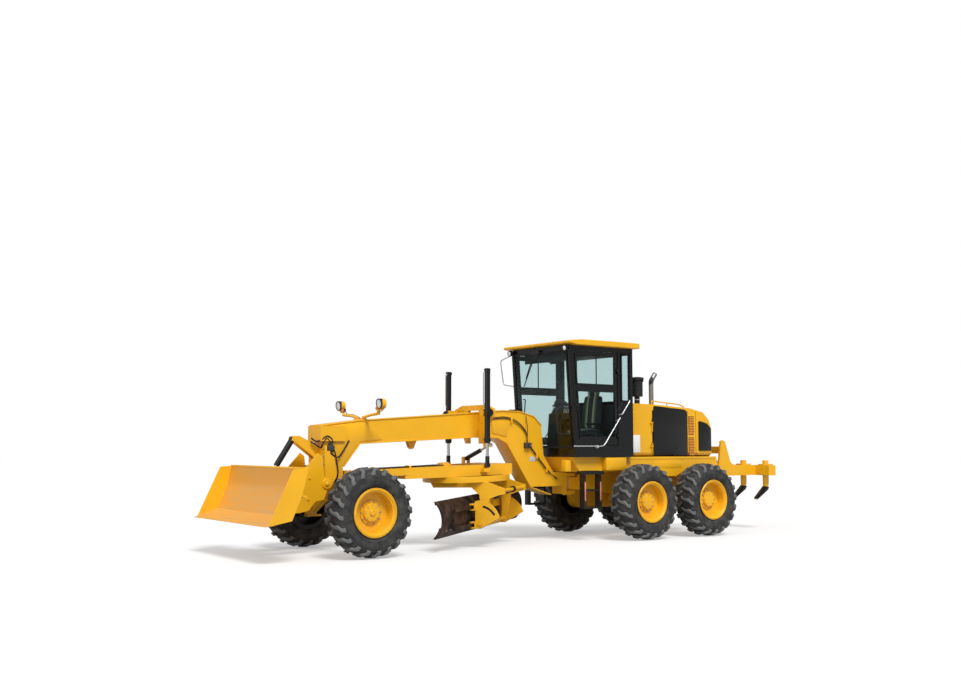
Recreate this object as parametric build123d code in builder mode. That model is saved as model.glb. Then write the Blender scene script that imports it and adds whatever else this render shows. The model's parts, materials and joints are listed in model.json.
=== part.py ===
# Motor grader with a front bucket and a rear ripper.
# The row frame is in millimetres: +X forward, +Y to the machine's left, +Z up.
# Its origin is on the floor, midway along the machine, on its centre plane.
from build123d import *
import math
import os

os.makedirs("parts", exist_ok=True)

# Places along the machine
FRONT_AXLE_X = 3950
TANDEM_X = -2450
TANDEM_BASE = 1570
PIVOT_X = -790                     # articulation pin
SIDES = (("left", 1), ("right", -1))
RUNNING_GAP = 0.05                 # radial clearance of a pin in its bore
FACE_GAP = 5                       # clearance beside a moving face
SEAT_GAP = 0.3                     # clearance at a seat
TURN_GAP = 0.5                     # clearance of a turning face on its seat

# Wheels, 17.5-25
TYRE_R = 665
TYRE_WIDTH = 445
TREAD_WIDTH = 400
TREAD_R = 638                      # bottom of the tread, between the lugs
TYRE_FACETS = 24                   # one lug on each facet, by turns inboard and outboard
RIM_SEAT_R = 318
RIM_FLANGE_R = 362
RIM_WIDTH = 410
RIM_WALL = 16
DISC_OUT = 60                      # disc face, outboard of the wheel's centre plane
DISC_THICK = 22
HUB_R = 150
TRACK_Y = 1070                     # wheel centre plane
AXLE_Z = TYRE_R


def at_x(x):
    """A plane across the machine: local x is +Y, local y is +Z."""
    return Plane.YZ.offset(x)


def at_y(y):
    """A plane along the machine: local x is +X, local y is +Z."""
    return Plane.XZ.offset(-y)


def at_z(z):
    return Plane.XY.offset(z)


def placed(frame, plane):
    """A plane that is given in a tilted or turned frame."""
    return Plane(frame.location * plane.location)


def plate(points, plane, thickness, radius=0.0, mode=Mode.ADD):
    """A flat plate with its outline on the plane, half of its thickness to each side."""
    with BuildSketch(plane) as outline:
        Polygon(*points, align=None)
        if radius:
            fillet(outline.vertices(), radius)
    extrude(outline.sketch, amount=thickness / 2, both=True, mode=mode)


def block(low, high, frame=Plane.XY, mode=Mode.ADD):
    """A box between two corners of a frame."""
    middle = [(a + b) / 2 for a, b in zip(low, high)]
    size = [b - a for a, b in zip(low, high)]
    with BuildSketch(placed(frame, at_z(low[2]))) as base:
        with Locations((middle[0], middle[1])):
            Rectangle(size[0], size[1])
    extrude(base.sketch, amount=size[2], mode=mode)


def bar(start, end, radius, frame=Plane.XY, mode=Mode.ADD):
    """A round bar between two points of a frame."""
    run = Vector(*end) - Vector(*start)
    with BuildSketch(placed(frame, Plane(origin=start, z_dir=run))) as section:
        Circle(radius)
    extrude(section.sketch, amount=run.length, mode=mode)


def pipe(points, radius, bend, frame=Plane.XY):
    """A round tube along straight runs with tangent bends."""
    with BuildLine() as route:
        FilletPolyline(*points, radius=bend)
    moved = frame.location * route.wire()
    with BuildSketch(Plane(origin=moved @ 0, z_dir=moved % 0)) as section:
        Circle(radius)
    sweep(section.sketch, path=moved)


def along(start, end, distance):
    """The point at a distance from start towards end."""
    run = Vector(*end) - Vector(*start)
    point = Vector(*start) + run.normalized() * distance
    return (point.X, point.Y, point.Z)


def deliver(shape, label):
    shape.label = label
    export_step(shape, f"parts/{label}.step")


def finish(builder, label):
    deliver(builder.part, label)


# Tyres and rims, one pair of nodes for each of six wheels
# columns: axle name, x of the wheel centre
AXLES = (
    ("front", FRONT_AXLE_X),
    ("middle", TANDEM_X + TANDEM_BASE / 2),
    ("rear", TANDEM_X - TANDEM_BASE / 2),
)
# columns: distance from the tyre's centre plane, radius
TYRE_SECTIONS = (
    (-RIM_WIDTH / 2 + RIM_WALL + 4, RIM_FLANGE_R + 10),
    (-TYRE_WIDTH / 2, 520),
    (-TREAD_WIDTH / 2 + 30, TREAD_R),
    (TREAD_WIDTH / 2 - 30, TREAD_R),
    (TYRE_WIDTH / 2, 520),
    (RIM_WIDTH / 2 - RIM_WALL - 4, RIM_FLANGE_R + 10),
)
LUG_DRAFT = 6                      # how much each side of a lug leans in
# columns: distance from the centre plane, sweep and half width along the tread, foot and top radius
LUG_SECTIONS = (
    (8, -34, 26, 615, TYRE_R),
    (TREAD_WIDTH / 2 + 4, 26, 32, 560, 632),
)


def lug(sign, half, angle):
    """One lug of a tyre's tread, from its middle to its shoulder."""
    ends = []
    for offset, sweep_t, half_w, foot_r, top_r in LUG_SECTIONS:
        with BuildSketch(at_y(sign * (TRACK_Y + half * offset))) as end:
            with Locations(Location((0, AXLE_Z), angle)):
                Polygon((sweep_t - half_w, foot_r), (sweep_t + half_w, foot_r),
                        (sweep_t + half_w - LUG_DRAFT, top_r), (sweep_t - half_w + LUG_DRAFT, top_r),
                        align=None)
        ends.append(end.sketch)
    loft(ends, ruled=True)


HALF_RIM = RIM_WIDTH / 2
TANDEM_CASE_OUT_Y = 815            # outer face of the tandem case
KNUCKLE_OUT_Y = 930                # outer face of the front knuckle

for side, sign in SIDES:
    with BuildPart() as tyre:
        for offset, radius in TYRE_SECTIONS:
            with BuildSketch(at_y(sign * (TRACK_Y + offset))):
                with Locations((0, AXLE_Z)):
                    RegularPolygon(radius, TYRE_FACETS, major_radius=False,
                                   rotation=180 / TYRE_FACETS)
        loft(ruled=True)
        with BuildSketch(at_y(sign * TRACK_Y)) as bore:
            with Locations((0, AXLE_Z)):
                RegularPolygon(RIM_SEAT_R + SEAT_GAP, TYRE_FACETS, major_radius=False,
                               rotation=180 / TYRE_FACETS)
        extrude(bore.sketch, amount=TYRE_WIDTH, both=True, mode=Mode.SUBTRACT)
        for facet in range(TYRE_FACETS):
            lug(sign, 1 if facet % 2 else -1, 180 + facet * 360 / TYRE_FACETS)
    for axle, wheel_x in AXLES:
        deliver(tyre.part.moved(Location((wheel_x, 0, 0))), f"{axle}_tyre_{side}")

        hub_in = (KNUCKLE_OUT_Y if axle == "front" else TANDEM_CASE_OUT_Y) + TURN_GAP - TRACK_Y
        # columns: radius, distance from the wheel's centre plane, outboard positive
        rim_outline = (
            (0, hub_in), (HUB_R, hub_in), (HUB_R, DISC_OUT - DISC_THICK),
            (RIM_SEAT_R - RIM_WALL, DISC_OUT - DISC_THICK),
            (RIM_SEAT_R - RIM_WALL, -HALF_RIM),
            (RIM_FLANGE_R, -HALF_RIM), (RIM_FLANGE_R, -HALF_RIM + RIM_WALL),
            (RIM_SEAT_R, -HALF_RIM + RIM_WALL), (RIM_SEAT_R, HALF_RIM - RIM_WALL),
            (RIM_FLANGE_R, HALF_RIM - RIM_WALL), (RIM_FLANGE_R, HALF_RIM),
            (RIM_SEAT_R - RIM_WALL, HALF_RIM), (RIM_SEAT_R - RIM_WALL, DISC_OUT),
            (HUB_R, DISC_OUT + 30), (HUB_R - 20, DISC_OUT + 75), (0, DISC_OUT + 75),
        )
        wheel_frame = Plane(origin=(wheel_x, sign * TRACK_Y, AXLE_Z), x_dir=(1, 0, 0),
                            z_dir=(0, 0, 1))
        with BuildPart() as rim:
            with BuildSketch(wheel_frame) as section:
                Polygon(*[(radius, sign * out) for radius, out in rim_outline], align=None)
            revolve(section.sketch, axis=Axis((wheel_x, 0, AXLE_Z), (0, 1, 0)))
        finish(rim, f"{axle}_rim_{side}")

# Front axle: a beam on the oscillation pin, lean bodies at its ends, then steered knuckles
AXLE_PIN_Z = 960
AXLE_PIN_R = 50
AXLE_HALF = 690                    # centre plane to the lean pin
AXLE_DEPTH = 170                   # along the machine
LEAN_Z = 700
LEAN_PIN_R = 32
KINGPIN_Y = 830
KINGPIN_R = 38
KNUCKLE_IN_Y = 770
LEAN_TOP_Z = 930                   # pin line of the lean bar
LEAN_BAR_X = FRONT_AXLE_X - AXLE_DEPTH / 2 - 40
LEAN_PIN_TOP_R = 22
LEAN_BAR_GAP = 0.8
SPINDLE_R = 75
KINGPIN_LOW_Z = AXLE_Z - SPINDLE_R - 45
KINGPIN_HIGH_Z = 860
LUG_T = 40                         # thickness of the kingpin's lugs
KINGPIN_LUG_R = 52
STEER_ARM = 210                    # length of the steering arm, behind the kingpin
STEER_ARM_Z = KINGPIN_LOW_Z - 40
FORK = 30                          # thickness of the axle's end forks

with BuildPart() as axle_beam:
    # columns: y, z of the beam's outline
    plate(
        ((-AXLE_HALF + 60, 600), (-300, 780), (300, 780), (AXLE_HALF - 60, 600),
         (AXLE_HALF + 30, 660), (AXLE_HALF + 30, 740), (AXLE_HALF - 60, 790), (260, 1040),
         (-260, 1040), (-AXLE_HALF + 60, 790), (-AXLE_HALF - 30, 740), (-AXLE_HALF - 30, 660)),
        at_x(FRONT_AXLE_X), AXLE_DEPTH - 2 * FORK - 2 * FACE_GAP)
    for sign in (1, -1):
        pin_end = AXLE_DEPTH / 2
        bar((FRONT_AXLE_X - pin_end, sign * AXLE_HALF, LEAN_Z),
            (FRONT_AXLE_X + pin_end, sign * AXLE_HALF, LEAN_Z), LEAN_PIN_R)
    bar((FRONT_AXLE_X - AXLE_DEPTH, 0, AXLE_PIN_Z), (FRONT_AXLE_X + AXLE_DEPTH, 0, AXLE_PIN_Z),
        AXLE_PIN_R + RUNNING_GAP, mode=Mode.SUBTRACT)
finish(axle_beam, "front_axle_beam")

for side, sign in SIDES:
    with BuildPart() as lean:
        fork_mid = AXLE_DEPTH / 2 - FORK / 2
        for end in (1, -1):
            # columns: y, z of a fork plate
            plate(
                ((sign * (AXLE_HALF - 45), LEAN_Z - 50), (sign * KNUCKLE_IN_Y, KINGPIN_LOW_Z),
                 (sign * KNUCKLE_IN_Y, KINGPIN_HIGH_Z), (sign * (AXLE_HALF + 30), LEAN_TOP_Z + 40),
                 (sign * (AXLE_HALF - 40), LEAN_TOP_Z + 40), (sign * (AXLE_HALF - 45), LEAN_Z + 60)),
                at_x(FRONT_AXLE_X + end * fork_mid), FORK)
        low_y, high_y = sorted((sign * (KNUCKLE_IN_Y - 25), sign * KNUCKLE_IN_Y))
        block((FRONT_AXLE_X - AXLE_DEPTH / 2, low_y, KINGPIN_LOW_Z),
              (FRONT_AXLE_X + AXLE_DEPTH / 2, high_y, KINGPIN_HIGH_Z))
        for low in (KINGPIN_LOW_Z, KINGPIN_HIGH_Z - LUG_T):
            low_y, high_y = sorted((sign * (KNUCKLE_IN_Y - 1), sign * KINGPIN_Y))
            block((FRONT_AXLE_X - KINGPIN_LUG_R, low_y, low),
                  (FRONT_AXLE_X + KINGPIN_LUG_R, high_y, low + LUG_T))
            bar((FRONT_AXLE_X, sign * KINGPIN_Y, low), (FRONT_AXLE_X, sign * KINGPIN_Y, low + LUG_T),
                KINGPIN_LUG_R)
        bar((FRONT_AXLE_X, sign * KINGPIN_Y, KINGPIN_LOW_Z),
            (FRONT_AXLE_X, sign * KINGPIN_Y, KINGPIN_HIGH_Z), KINGPIN_R)
        bar((FRONT_AXLE_X - AXLE_DEPTH, sign * AXLE_HALF, LEAN_Z),
            (FRONT_AXLE_X + AXLE_DEPTH, sign * AXLE_HALF, LEAN_Z),
            LEAN_PIN_R + RUNNING_GAP, mode=Mode.SUBTRACT)
        bar((LEAN_BAR_X - 30, sign * AXLE_HALF, LEAN_TOP_Z),
            (FRONT_AXLE_X - fork_mid, sign * AXLE_HALF, LEAN_TOP_Z), LEAN_PIN_TOP_R)
    finish(lean, f"lean_bracket_{side}")

    with BuildPart() as knuckle:
        low, high = KINGPIN_LOW_Z + LUG_T + FACE_GAP, KINGPIN_HIGH_Z - LUG_T - FACE_GAP
        bar((FRONT_AXLE_X, sign * KINGPIN_Y, low), (FRONT_AXLE_X, sign * KINGPIN_Y, high), 58)
        bar((FRONT_AXLE_X, sign * KINGPIN_Y, AXLE_Z),
            (FRONT_AXLE_X, sign * KNUCKLE_OUT_Y, AXLE_Z), SPINDLE_R)
        # The steering arm hangs from the spindle and passes under the lower lug
        low_y, high_y = sorted((sign * (KINGPIN_Y + KINGPIN_LUG_R + 8), sign * (KNUCKLE_OUT_Y - 5)))
        block((FRONT_AXLE_X - 40, low_y, STEER_ARM_Z), (FRONT_AXLE_X + 40, high_y, AXLE_Z))
        low_y, high_y = sorted((sign * (KINGPIN_Y - 20), sign * (KNUCKLE_OUT_Y - 5)))
        block((FRONT_AXLE_X - STEER_ARM, low_y, STEER_ARM_Z),
              (FRONT_AXLE_X + 40, high_y, STEER_ARM_Z + 30))
        bar((FRONT_AXLE_X, sign * KINGPIN_Y, KINGPIN_LOW_Z - 10),
            (FRONT_AXLE_X, sign * KINGPIN_Y, KINGPIN_HIGH_Z + 10), KINGPIN_R + RUNNING_GAP,
            mode=Mode.SUBTRACT)
    finish(knuckle, f"steering_knuckle_{side}")

with BuildPart() as lean_bar:
    bar((LEAN_BAR_X, -AXLE_HALF + LEAN_PIN_TOP_R + LEAN_BAR_GAP, LEAN_TOP_Z),
        (LEAN_BAR_X, AXLE_HALF - LEAN_PIN_TOP_R - LEAN_BAR_GAP, LEAN_TOP_Z), 20)
finish(lean_bar, "lean_bar")

# Front frame: nose, beam and gooseneck in one profile, with ears for the articulation pin
BEAM_HALF = 160
NOSE_FRONT_X = 4310
EAR_R = 150
PIVOT_PIN_R = 45
PIVOT_GAP = 0.4                    # radial clearance of the articulation pin
FOOT_REAR_X = -640                 # the foot stands behind the blade's turning circle
FOOT_FRONT_X = -574
# columns: x, z, from the nose along the top to the rear and back along the bottom
GOOSENECK = (
    (NOSE_FRONT_X, 1940), (3580, 2030), (1230, 2200), (800, 2240), (420, 2230), (110, 2150),
    (-60, 1990), (-110, 1480), (-330, 1180), (FOOT_REAR_X, 1172), (FOOT_REAR_X, 790),
    (FOOT_FRONT_X, 790), (FOOT_FRONT_X, 935), (170, 935), (330, 1150), (700, 1700), (900, 1790),
    (1270, 1800), (3600, 1683),
    (3890, 1320), (3890, 1110), (4230, 1110), (4230, 1700), (NOSE_FRONT_X, 1700),
)


def beam_top(x):
    """The height of the beam's sloped top at an x."""
    (front_x, front_z), (rear_x, rear_z) = GOOSENECK[1:3]
    return front_z + (x - front_x) * (front_z - rear_z) / (front_x - rear_x)


AXLE_LUG_T = 30
AXLE_LUG_X = AXLE_DEPTH / 2 - FORK + AXLE_LUG_T / 2
BALL = (3750, 0, 1190)
BALL_R = 45
with BuildPart() as gooseneck:
    plate(GOOSENECK, at_y(0), 2 * BEAM_HALF)
    block((3880, -210, 1710), (NOSE_FRONT_X + 2, 210, 1945))
    for low in (790, 1100):
        with BuildSketch(at_z(low)) as ear:
            with BuildLine():
                Polyline((FOOT_REAR_X + 20, -BEAM_HALF), (FOOT_REAR_X + 20, BEAM_HALF))
                Line((FOOT_REAR_X + 20, BEAM_HALF), (PIVOT_X, EAR_R))
                ThreePointArc((PIVOT_X, EAR_R), (PIVOT_X - EAR_R, 0), (PIVOT_X, -EAR_R))
                Line((PIVOT_X, -EAR_R), (FOOT_REAR_X + 20, -BEAM_HALF))
            make_face()
        extrude(ear.sketch, amount=60)
    for x in (FRONT_AXLE_X - AXLE_LUG_X, FRONT_AXLE_X + AXLE_LUG_X):
        plate(((-120, 1115), (-80, 880), (80, 880), (120, 1115)), at_x(x), AXLE_LUG_T)
    pin_end = AXLE_LUG_X + AXLE_LUG_T
    bar((FRONT_AXLE_X - pin_end, 0, AXLE_PIN_Z), (FRONT_AXLE_X + pin_end, 0, AXLE_PIN_Z), AXLE_PIN_R)
    bar(BALL, (3900, 0, BALL[2]), BALL_R * 0.55)
    with Locations(BALL):
        Sphere(BALL_R)
    bar((PIVOT_X, 0, 700), (PIVOT_X, 0, 1300), PIVOT_PIN_R + PIVOT_GAP, mode=Mode.SUBTRACT)
finish(gooseneck, "front_frame")

# Centre shift cylinder, between the drawbar and the yoke
SHIFT_X = 1155
SHIFT_SWEEP = 32                   # how far the eye travels towards the yoke as the drawbar lifts
SHIFT_START_Y = -420
SHIFT_START_Z = 1420
SHIFT_END_Y = 280
SHIFT_END_Z = 1655
SHIFT_EYE_HALF = 38
SHIFT_PIN_R = 18

# Yoke that carries the blade lift cylinders, round the beam
LIFT_X = 1420
LIFT_Y = 570
LIFT_BARREL_R = 48
TRUNNION_Z = 2187
YOKE_T = 70
YOKE_X = LIFT_X - 150
with BuildPart() as yoke:
    # columns: y, z
    plate(
        ((-LIFT_Y + 40, 2120), (-420, 2060), (-230, 1680), (230, 1680), (420, 2060),
         (LIFT_Y - 40, 2120), (LIFT_Y - 20, 2260), (330, 2330), (-330, 2330), (-LIFT_Y + 20, 2260)),
        at_x(YOKE_X), YOKE_T, radius=30)
    plate(((-BEAM_HALF, 1640), (BEAM_HALF, 1640), (BEAM_HALF, 2240), (-BEAM_HALF, 2240)),
          at_x(YOKE_X), YOKE_T + 20, mode=Mode.SUBTRACT)
    for sign in (1, -1):
        low_y, high_y = sorted((sign * (LIFT_Y - 110), sign * (LIFT_Y - 65)))
        block((YOKE_X, low_y, TRUNNION_Z - 60), (LIFT_X + 60, high_y, TRUNNION_Z + 60))
        bar((LIFT_X, sign * (LIFT_Y - 110), TRUNNION_Z),
            (LIFT_X, sign * (LIFT_Y - LIFT_BARREL_R - 7 - TURN_GAP), TRUNNION_Z), 40)
    cheek_x = SHIFT_X + SHIFT_EYE_HALF + SHIFT_SWEEP + FACE_GAP
    block((cheek_x, SHIFT_END_Y - 35, SHIFT_END_Z - 35),
          (YOKE_X, SHIFT_END_Y + 35, SHIFT_END_Z + 145))
finish(yoke, "lift_yoke")

# Drawbar group, in a frame that is pitched about the ball at the drawbar's nose
DRAFT_PITCH = 2.08
draft = Plane(origin=BALL, x_dir=(math.cos(math.radians(DRAFT_PITCH)), 0,
                                  -math.sin(math.radians(DRAFT_PITCH))),
              z_dir=(math.sin(math.radians(DRAFT_PITCH)), 0, math.cos(math.radians(DRAFT_PITCH))))
CIRCLE_DX = -2300                  # circle centre behind the ball
DRAWBAR_TOP = 56
DRAWBAR_LOW = -120
CIRCLE_TOP = DRAWBAR_LOW - TURN_GAP
CIRCLE_LOW = -215
CIRCLE_R = 735
CIRCLE_IN_R = 650

with BuildPart() as drawbar:
    # columns: x, y of the plan outline, in the pitched frame
    with BuildSketch(placed(draft, at_z(-60))) as nose:
        Polygon((-30, -70), (60, -60), (60, 60), (-30, 70), (-1500, 210), (-1500, -210), align=None)
    extrude(nose.sketch, amount=DRAWBAR_TOP + 60)
    with BuildSketch(placed(draft, at_z(DRAWBAR_LOW))) as frame_plan:
        Polygon((-1000, -150), (-1000, 150), (-1800, 420), (-2250, 500), (-2900, 500),
                (-2900, -500), (-2250, -500), (-1800, -420), align=None)
        with Locations((CIRCLE_DX, 0)):
            Circle(330, mode=Mode.SUBTRACT)
    extrude(frame_plan.sketch, amount=DRAWBAR_TOP - DRAWBAR_LOW)
    block((CIRCLE_DX - 60, -LIFT_Y - 40, -60), (CIRCLE_DX + 60, LIFT_Y + 40, 0), frame=draft)
    for x in (SHIFT_X - SHIFT_EYE_HALF - FACE_GAP - 20, SHIFT_X + SHIFT_EYE_HALF + FACE_GAP):
        block((x, SHIFT_START_Y - 40, SHIFT_START_Z - 95), (x + 20, SHIFT_START_Y + 40, SHIFT_START_Z + 35))
    bar((SHIFT_X - SHIFT_EYE_HALF - 15, SHIFT_START_Y, SHIFT_START_Z),
        (SHIFT_X + SHIFT_EYE_HALF + 15, SHIFT_START_Y, SHIFT_START_Z), SHIFT_PIN_R)
    with Locations(BALL):
        Sphere(BALL_R + RUNNING_GAP, mode=Mode.SUBTRACT)
    block((0, -BALL_R * 0.8, -70), (90, BALL_R * 0.8, 70), frame=draft, mode=Mode.SUBTRACT)
finish(drawbar, "drawbar")

# The blade turns with the circle about the pitched frame's upright axis
BLADE_TURN = 57.5                  # from square across
swing = Plane(placed(draft, Plane(origin=(CIRCLE_DX, 0, 0))).location
              * Location((0, 0, 0), (0, 0, -BLADE_TURN)))
ARM_V = 500
ARM_T = 45
TIP_U = -470                       # tilt pin, behind the circle's centre
TIP_Z = -880
TIP_PIN_R = 30
HEAD_U = -830                      # pin of the tip cylinder's barrel
HEAD_Z = -360
HEAD_PIN_R = 30
with BuildPart() as circle:
    with BuildSketch(placed(swing, at_z(CIRCLE_LOW))) as ring:
        Circle(CIRCLE_R)
        Circle(CIRCLE_IN_R, mode=Mode.SUBTRACT)
    extrude(ring.sketch, amount=CIRCLE_TOP - CIRCLE_LOW)
    for v in (ARM_V, -ARM_V):
        # columns: u, z of one arm
        plate(
            ((430, CIRCLE_LOW + 5), (380, -300), (-300, -300), (-440, -420), (-450, -700),
             (TIP_U + 40, TIP_Z), (TIP_U + 40, TIP_Z - 60), (TIP_U - 40, TIP_Z - 60),
             (-570, -780), (-610, -480),
             (-760, -430), (HEAD_U - 50, HEAD_Z - 50), (HEAD_U - 50, HEAD_Z + 40),
             (-560, CIRCLE_LOW + 5)),
            placed(swing, at_y(v)), ARM_T)
    tip_end = ARM_V + 110
    bar((TIP_U, -tip_end, TIP_Z), (TIP_U, tip_end, TIP_Z), TIP_PIN_R, frame=swing)
    bar((HEAD_U, -ARM_V, HEAD_Z), (HEAD_U, ARM_V, HEAD_Z), HEAD_PIN_R, frame=swing)
finish(circle, "circle")

# Blade carrier: two brackets with slotted quadrants on the tilt pin
BLADE_LENGTH = 3660
BLADE_SHIFT = -150                 # along the blade, from its centre
BLADE_U = -133                     # cutting edge
BLADE_LOW = -1020
BLADE_HIGH = -445
BLADE_BULGE = 130
BLADE_T = 22
RAIL_U = -318                      # centre line of the slide rails
RAIL_W = 40
RAIL_H = 60
RAIL_LOW_Z = -900
RAIL_HIGH_Z = -610
CARRIER_V = ARM_V + 70
TIP_ROD_U = -400
TIP_ROD_Z = -500
with BuildPart() as carrier:
    for v in (CARRIER_V, -CARRIER_V):
        with BuildSketch(placed(swing, at_y(v))) as quadrant:
            with BuildLine():
                Line((-380, -960), (-380, -520))
                Line((-380, -520), (TIP_U, -500))
                RadiusArc((TIP_U, -500), (TIP_U - 330, -780), -380)
                Line((TIP_U - 330, -780), (TIP_U, -960))
                Line((TIP_U, -960), (-380, -960))
            make_face()
        extrude(quadrant.sketch, amount=15, both=True)
    for rail_z in (RAIL_LOW_Z, RAIL_HIGH_Z):
        block((-395, -CARRIER_V - 60, rail_z - RAIL_H / 2 - 25),
              (-380, CARRIER_V + 60, rail_z + RAIL_H / 2 + 25), frame=swing)
        for v in (CARRIER_V, -CARRIER_V):
            for low, high in ((rail_z + RAIL_H / 2 + TURN_GAP, rail_z + RAIL_H / 2 + 25),
                              (rail_z - RAIL_H / 2 - 25, rail_z - RAIL_H / 2 - TURN_GAP)):
                block((-381, v - 60, low), (RAIL_U + RAIL_W / 2 - 5, v + 60, high), frame=swing)
    block((TIP_ROD_U - 60, -60, -700), (-379, -35, TIP_ROD_Z + 40), frame=swing)
    block((TIP_ROD_U - 60, 35, -700), (-379, 60, TIP_ROD_Z + 40), frame=swing)
    block((-395, -70, RAIL_LOW_Z), (-380, 70, RAIL_HIGH_Z), frame=swing)
    bar((TIP_U, -CARRIER_V - 60, TIP_Z), (TIP_U, CARRIER_V + 60, TIP_Z), TIP_PIN_R + RUNNING_GAP,
        frame=swing, mode=Mode.SUBTRACT)
finish(carrier, "blade_carrier")

with BuildPart() as moldboard:
    chord_mid = (BLADE_LOW + BLADE_HIGH) / 2
    with BuildSketch(placed(swing, at_y(BLADE_SHIFT))) as section:
        with BuildLine():
            ThreePointArc((BLADE_U, BLADE_LOW), (BLADE_U - BLADE_BULGE, chord_mid),
                          (BLADE_U, BLADE_HIGH))
            Line((BLADE_U, BLADE_HIGH), (BLADE_U - BLADE_T, BLADE_HIGH))
            ThreePointArc((BLADE_U - BLADE_T, BLADE_HIGH),
                          (BLADE_U - BLADE_BULGE - BLADE_T, chord_mid),
                          (BLADE_U - BLADE_T, BLADE_LOW))
            Line((BLADE_U - BLADE_T, BLADE_LOW), (BLADE_U, BLADE_LOW))
        make_face()
    extrude(section.sketch, amount=BLADE_LENGTH / 2, both=True)
    for rail_z in (RAIL_LOW_Z, RAIL_HIGH_Z):
        block((RAIL_U - RAIL_W / 2, BLADE_SHIFT - 1450, rail_z - RAIL_H / 2),
              (RAIL_U + RAIL_W / 2, BLADE_SHIFT + 1450, rail_z + RAIL_H / 2), frame=swing)
    for v in (-1440, -750, 0, 750, 1420):
        block((RAIL_U + RAIL_W / 2 - 2, BLADE_SHIFT + v, RAIL_LOW_Z - 20),
              (BLADE_U - BLADE_BULGE - BLADE_T / 2, BLADE_SHIFT + v + 20, RAIL_HIGH_Z + 20),
              frame=swing)
finish(moldboard, "moldboard")

# A hydraulic cylinder: a barrel with a bored eye, and a rod that ends in an open eye
BORE_FIT = 0.3


def cylinder(barrel_name, rod_name, start, end, barrel_length, radius, rod_radius, pin,
             eye_half, frame=Plane.XY):
    """The barrel turns on a pin at start, and the rod's eye is centred on end."""
    mouth = along(start, end, barrel_length)
    with BuildPart() as barrel:
        bar(along(start, end, pin), mouth, radius, frame)
        x, y, z = start
        bar((x, y - eye_half, z), (x, y + eye_half, z), pin * 1.7, frame)
        bar((x, y - eye_half - 60, z), (x, y + eye_half + 60, z), pin + RUNNING_GAP, frame,
            mode=Mode.SUBTRACT)
        bar(along(start, end, pin * 1.7 + 15), along(start, end, barrel_length + 20),
            rod_radius + BORE_FIT, frame, mode=Mode.SUBTRACT)
    finish(barrel, barrel_name)
    with BuildPart() as rod:
        bar(along(start, end, max(pin * 1.7 + 20, 0.4 * barrel_length)), end, rod_radius, frame)
        x, y, z = end
        bar((x, y - eye_half, z), (x, y + eye_half, z), rod_radius + 14, frame)
        bar((x, y - eye_half - 60, z), (x, y + eye_half + 60, z), rod_radius * 0.6, frame,
            mode=Mode.SUBTRACT)
    finish(rod, rod_name)


# Blade lift cylinders hang in the yoke's trunnions
LIFT_TOP_Z = 2916
LIFT_BARREL_LOW_Z = 1711
LIFT_ROD_R = 25
LIFT_EYE_Z = 1325
for side, sign in SIDES:
    y = sign * LIFT_Y
    with BuildPart() as lift_barrel:
        bar((LIFT_X, y, LIFT_BARREL_LOW_Z), (LIFT_X, y, LIFT_TOP_Z), LIFT_BARREL_R)
        bar((LIFT_X, y, LIFT_BARREL_LOW_Z - 1), (LIFT_X, y, LIFT_BARREL_LOW_Z + 60),
            LIFT_BARREL_R + 8)
        bar((LIFT_X, y, TRUNNION_Z - 55), (LIFT_X, y, TRUNNION_Z + 55), LIFT_BARREL_R + 7)
        bar((LIFT_X, y, LIFT_BARREL_LOW_Z - 5), (LIFT_X, y, LIFT_TOP_Z - 30),
            LIFT_ROD_R + BORE_FIT, mode=Mode.SUBTRACT)
    finish(lift_barrel, f"lift_barrel_{side}")
    with BuildPart() as lift_rod:
        bar((LIFT_X, y, LIFT_EYE_Z), (LIFT_X, y, LIFT_BARREL_LOW_Z + 400), LIFT_ROD_R)
        bar((LIFT_X, y - 30, LIFT_EYE_Z), (LIFT_X, y + 30, LIFT_EYE_Z), 42)
    finish(lift_rod, f"lift_rod_{side}")

cylinder("tip_barrel", "tip_rod", (HEAD_U, 0, HEAD_Z), (TIP_ROD_U, 0, TIP_ROD_Z), 300, 42, 20,
         HEAD_PIN_R, 28, frame=swing)

RIPPER_REAR_X = -5700
RIPPER_PIVOT = (-4110, 0, 1100)
RIPPER_PIN_R = 30
RIPPER_Y = 400
TOWER_PIN = (-4470, 0, 1700)
CYL_HEAD = (-4010, 0, 1600)
TOW_X = -4140
TOW_R = 22
TOW_T = 40
RIPPER_EAR_GAP = 50                # half width between the cylinder's ears
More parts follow.
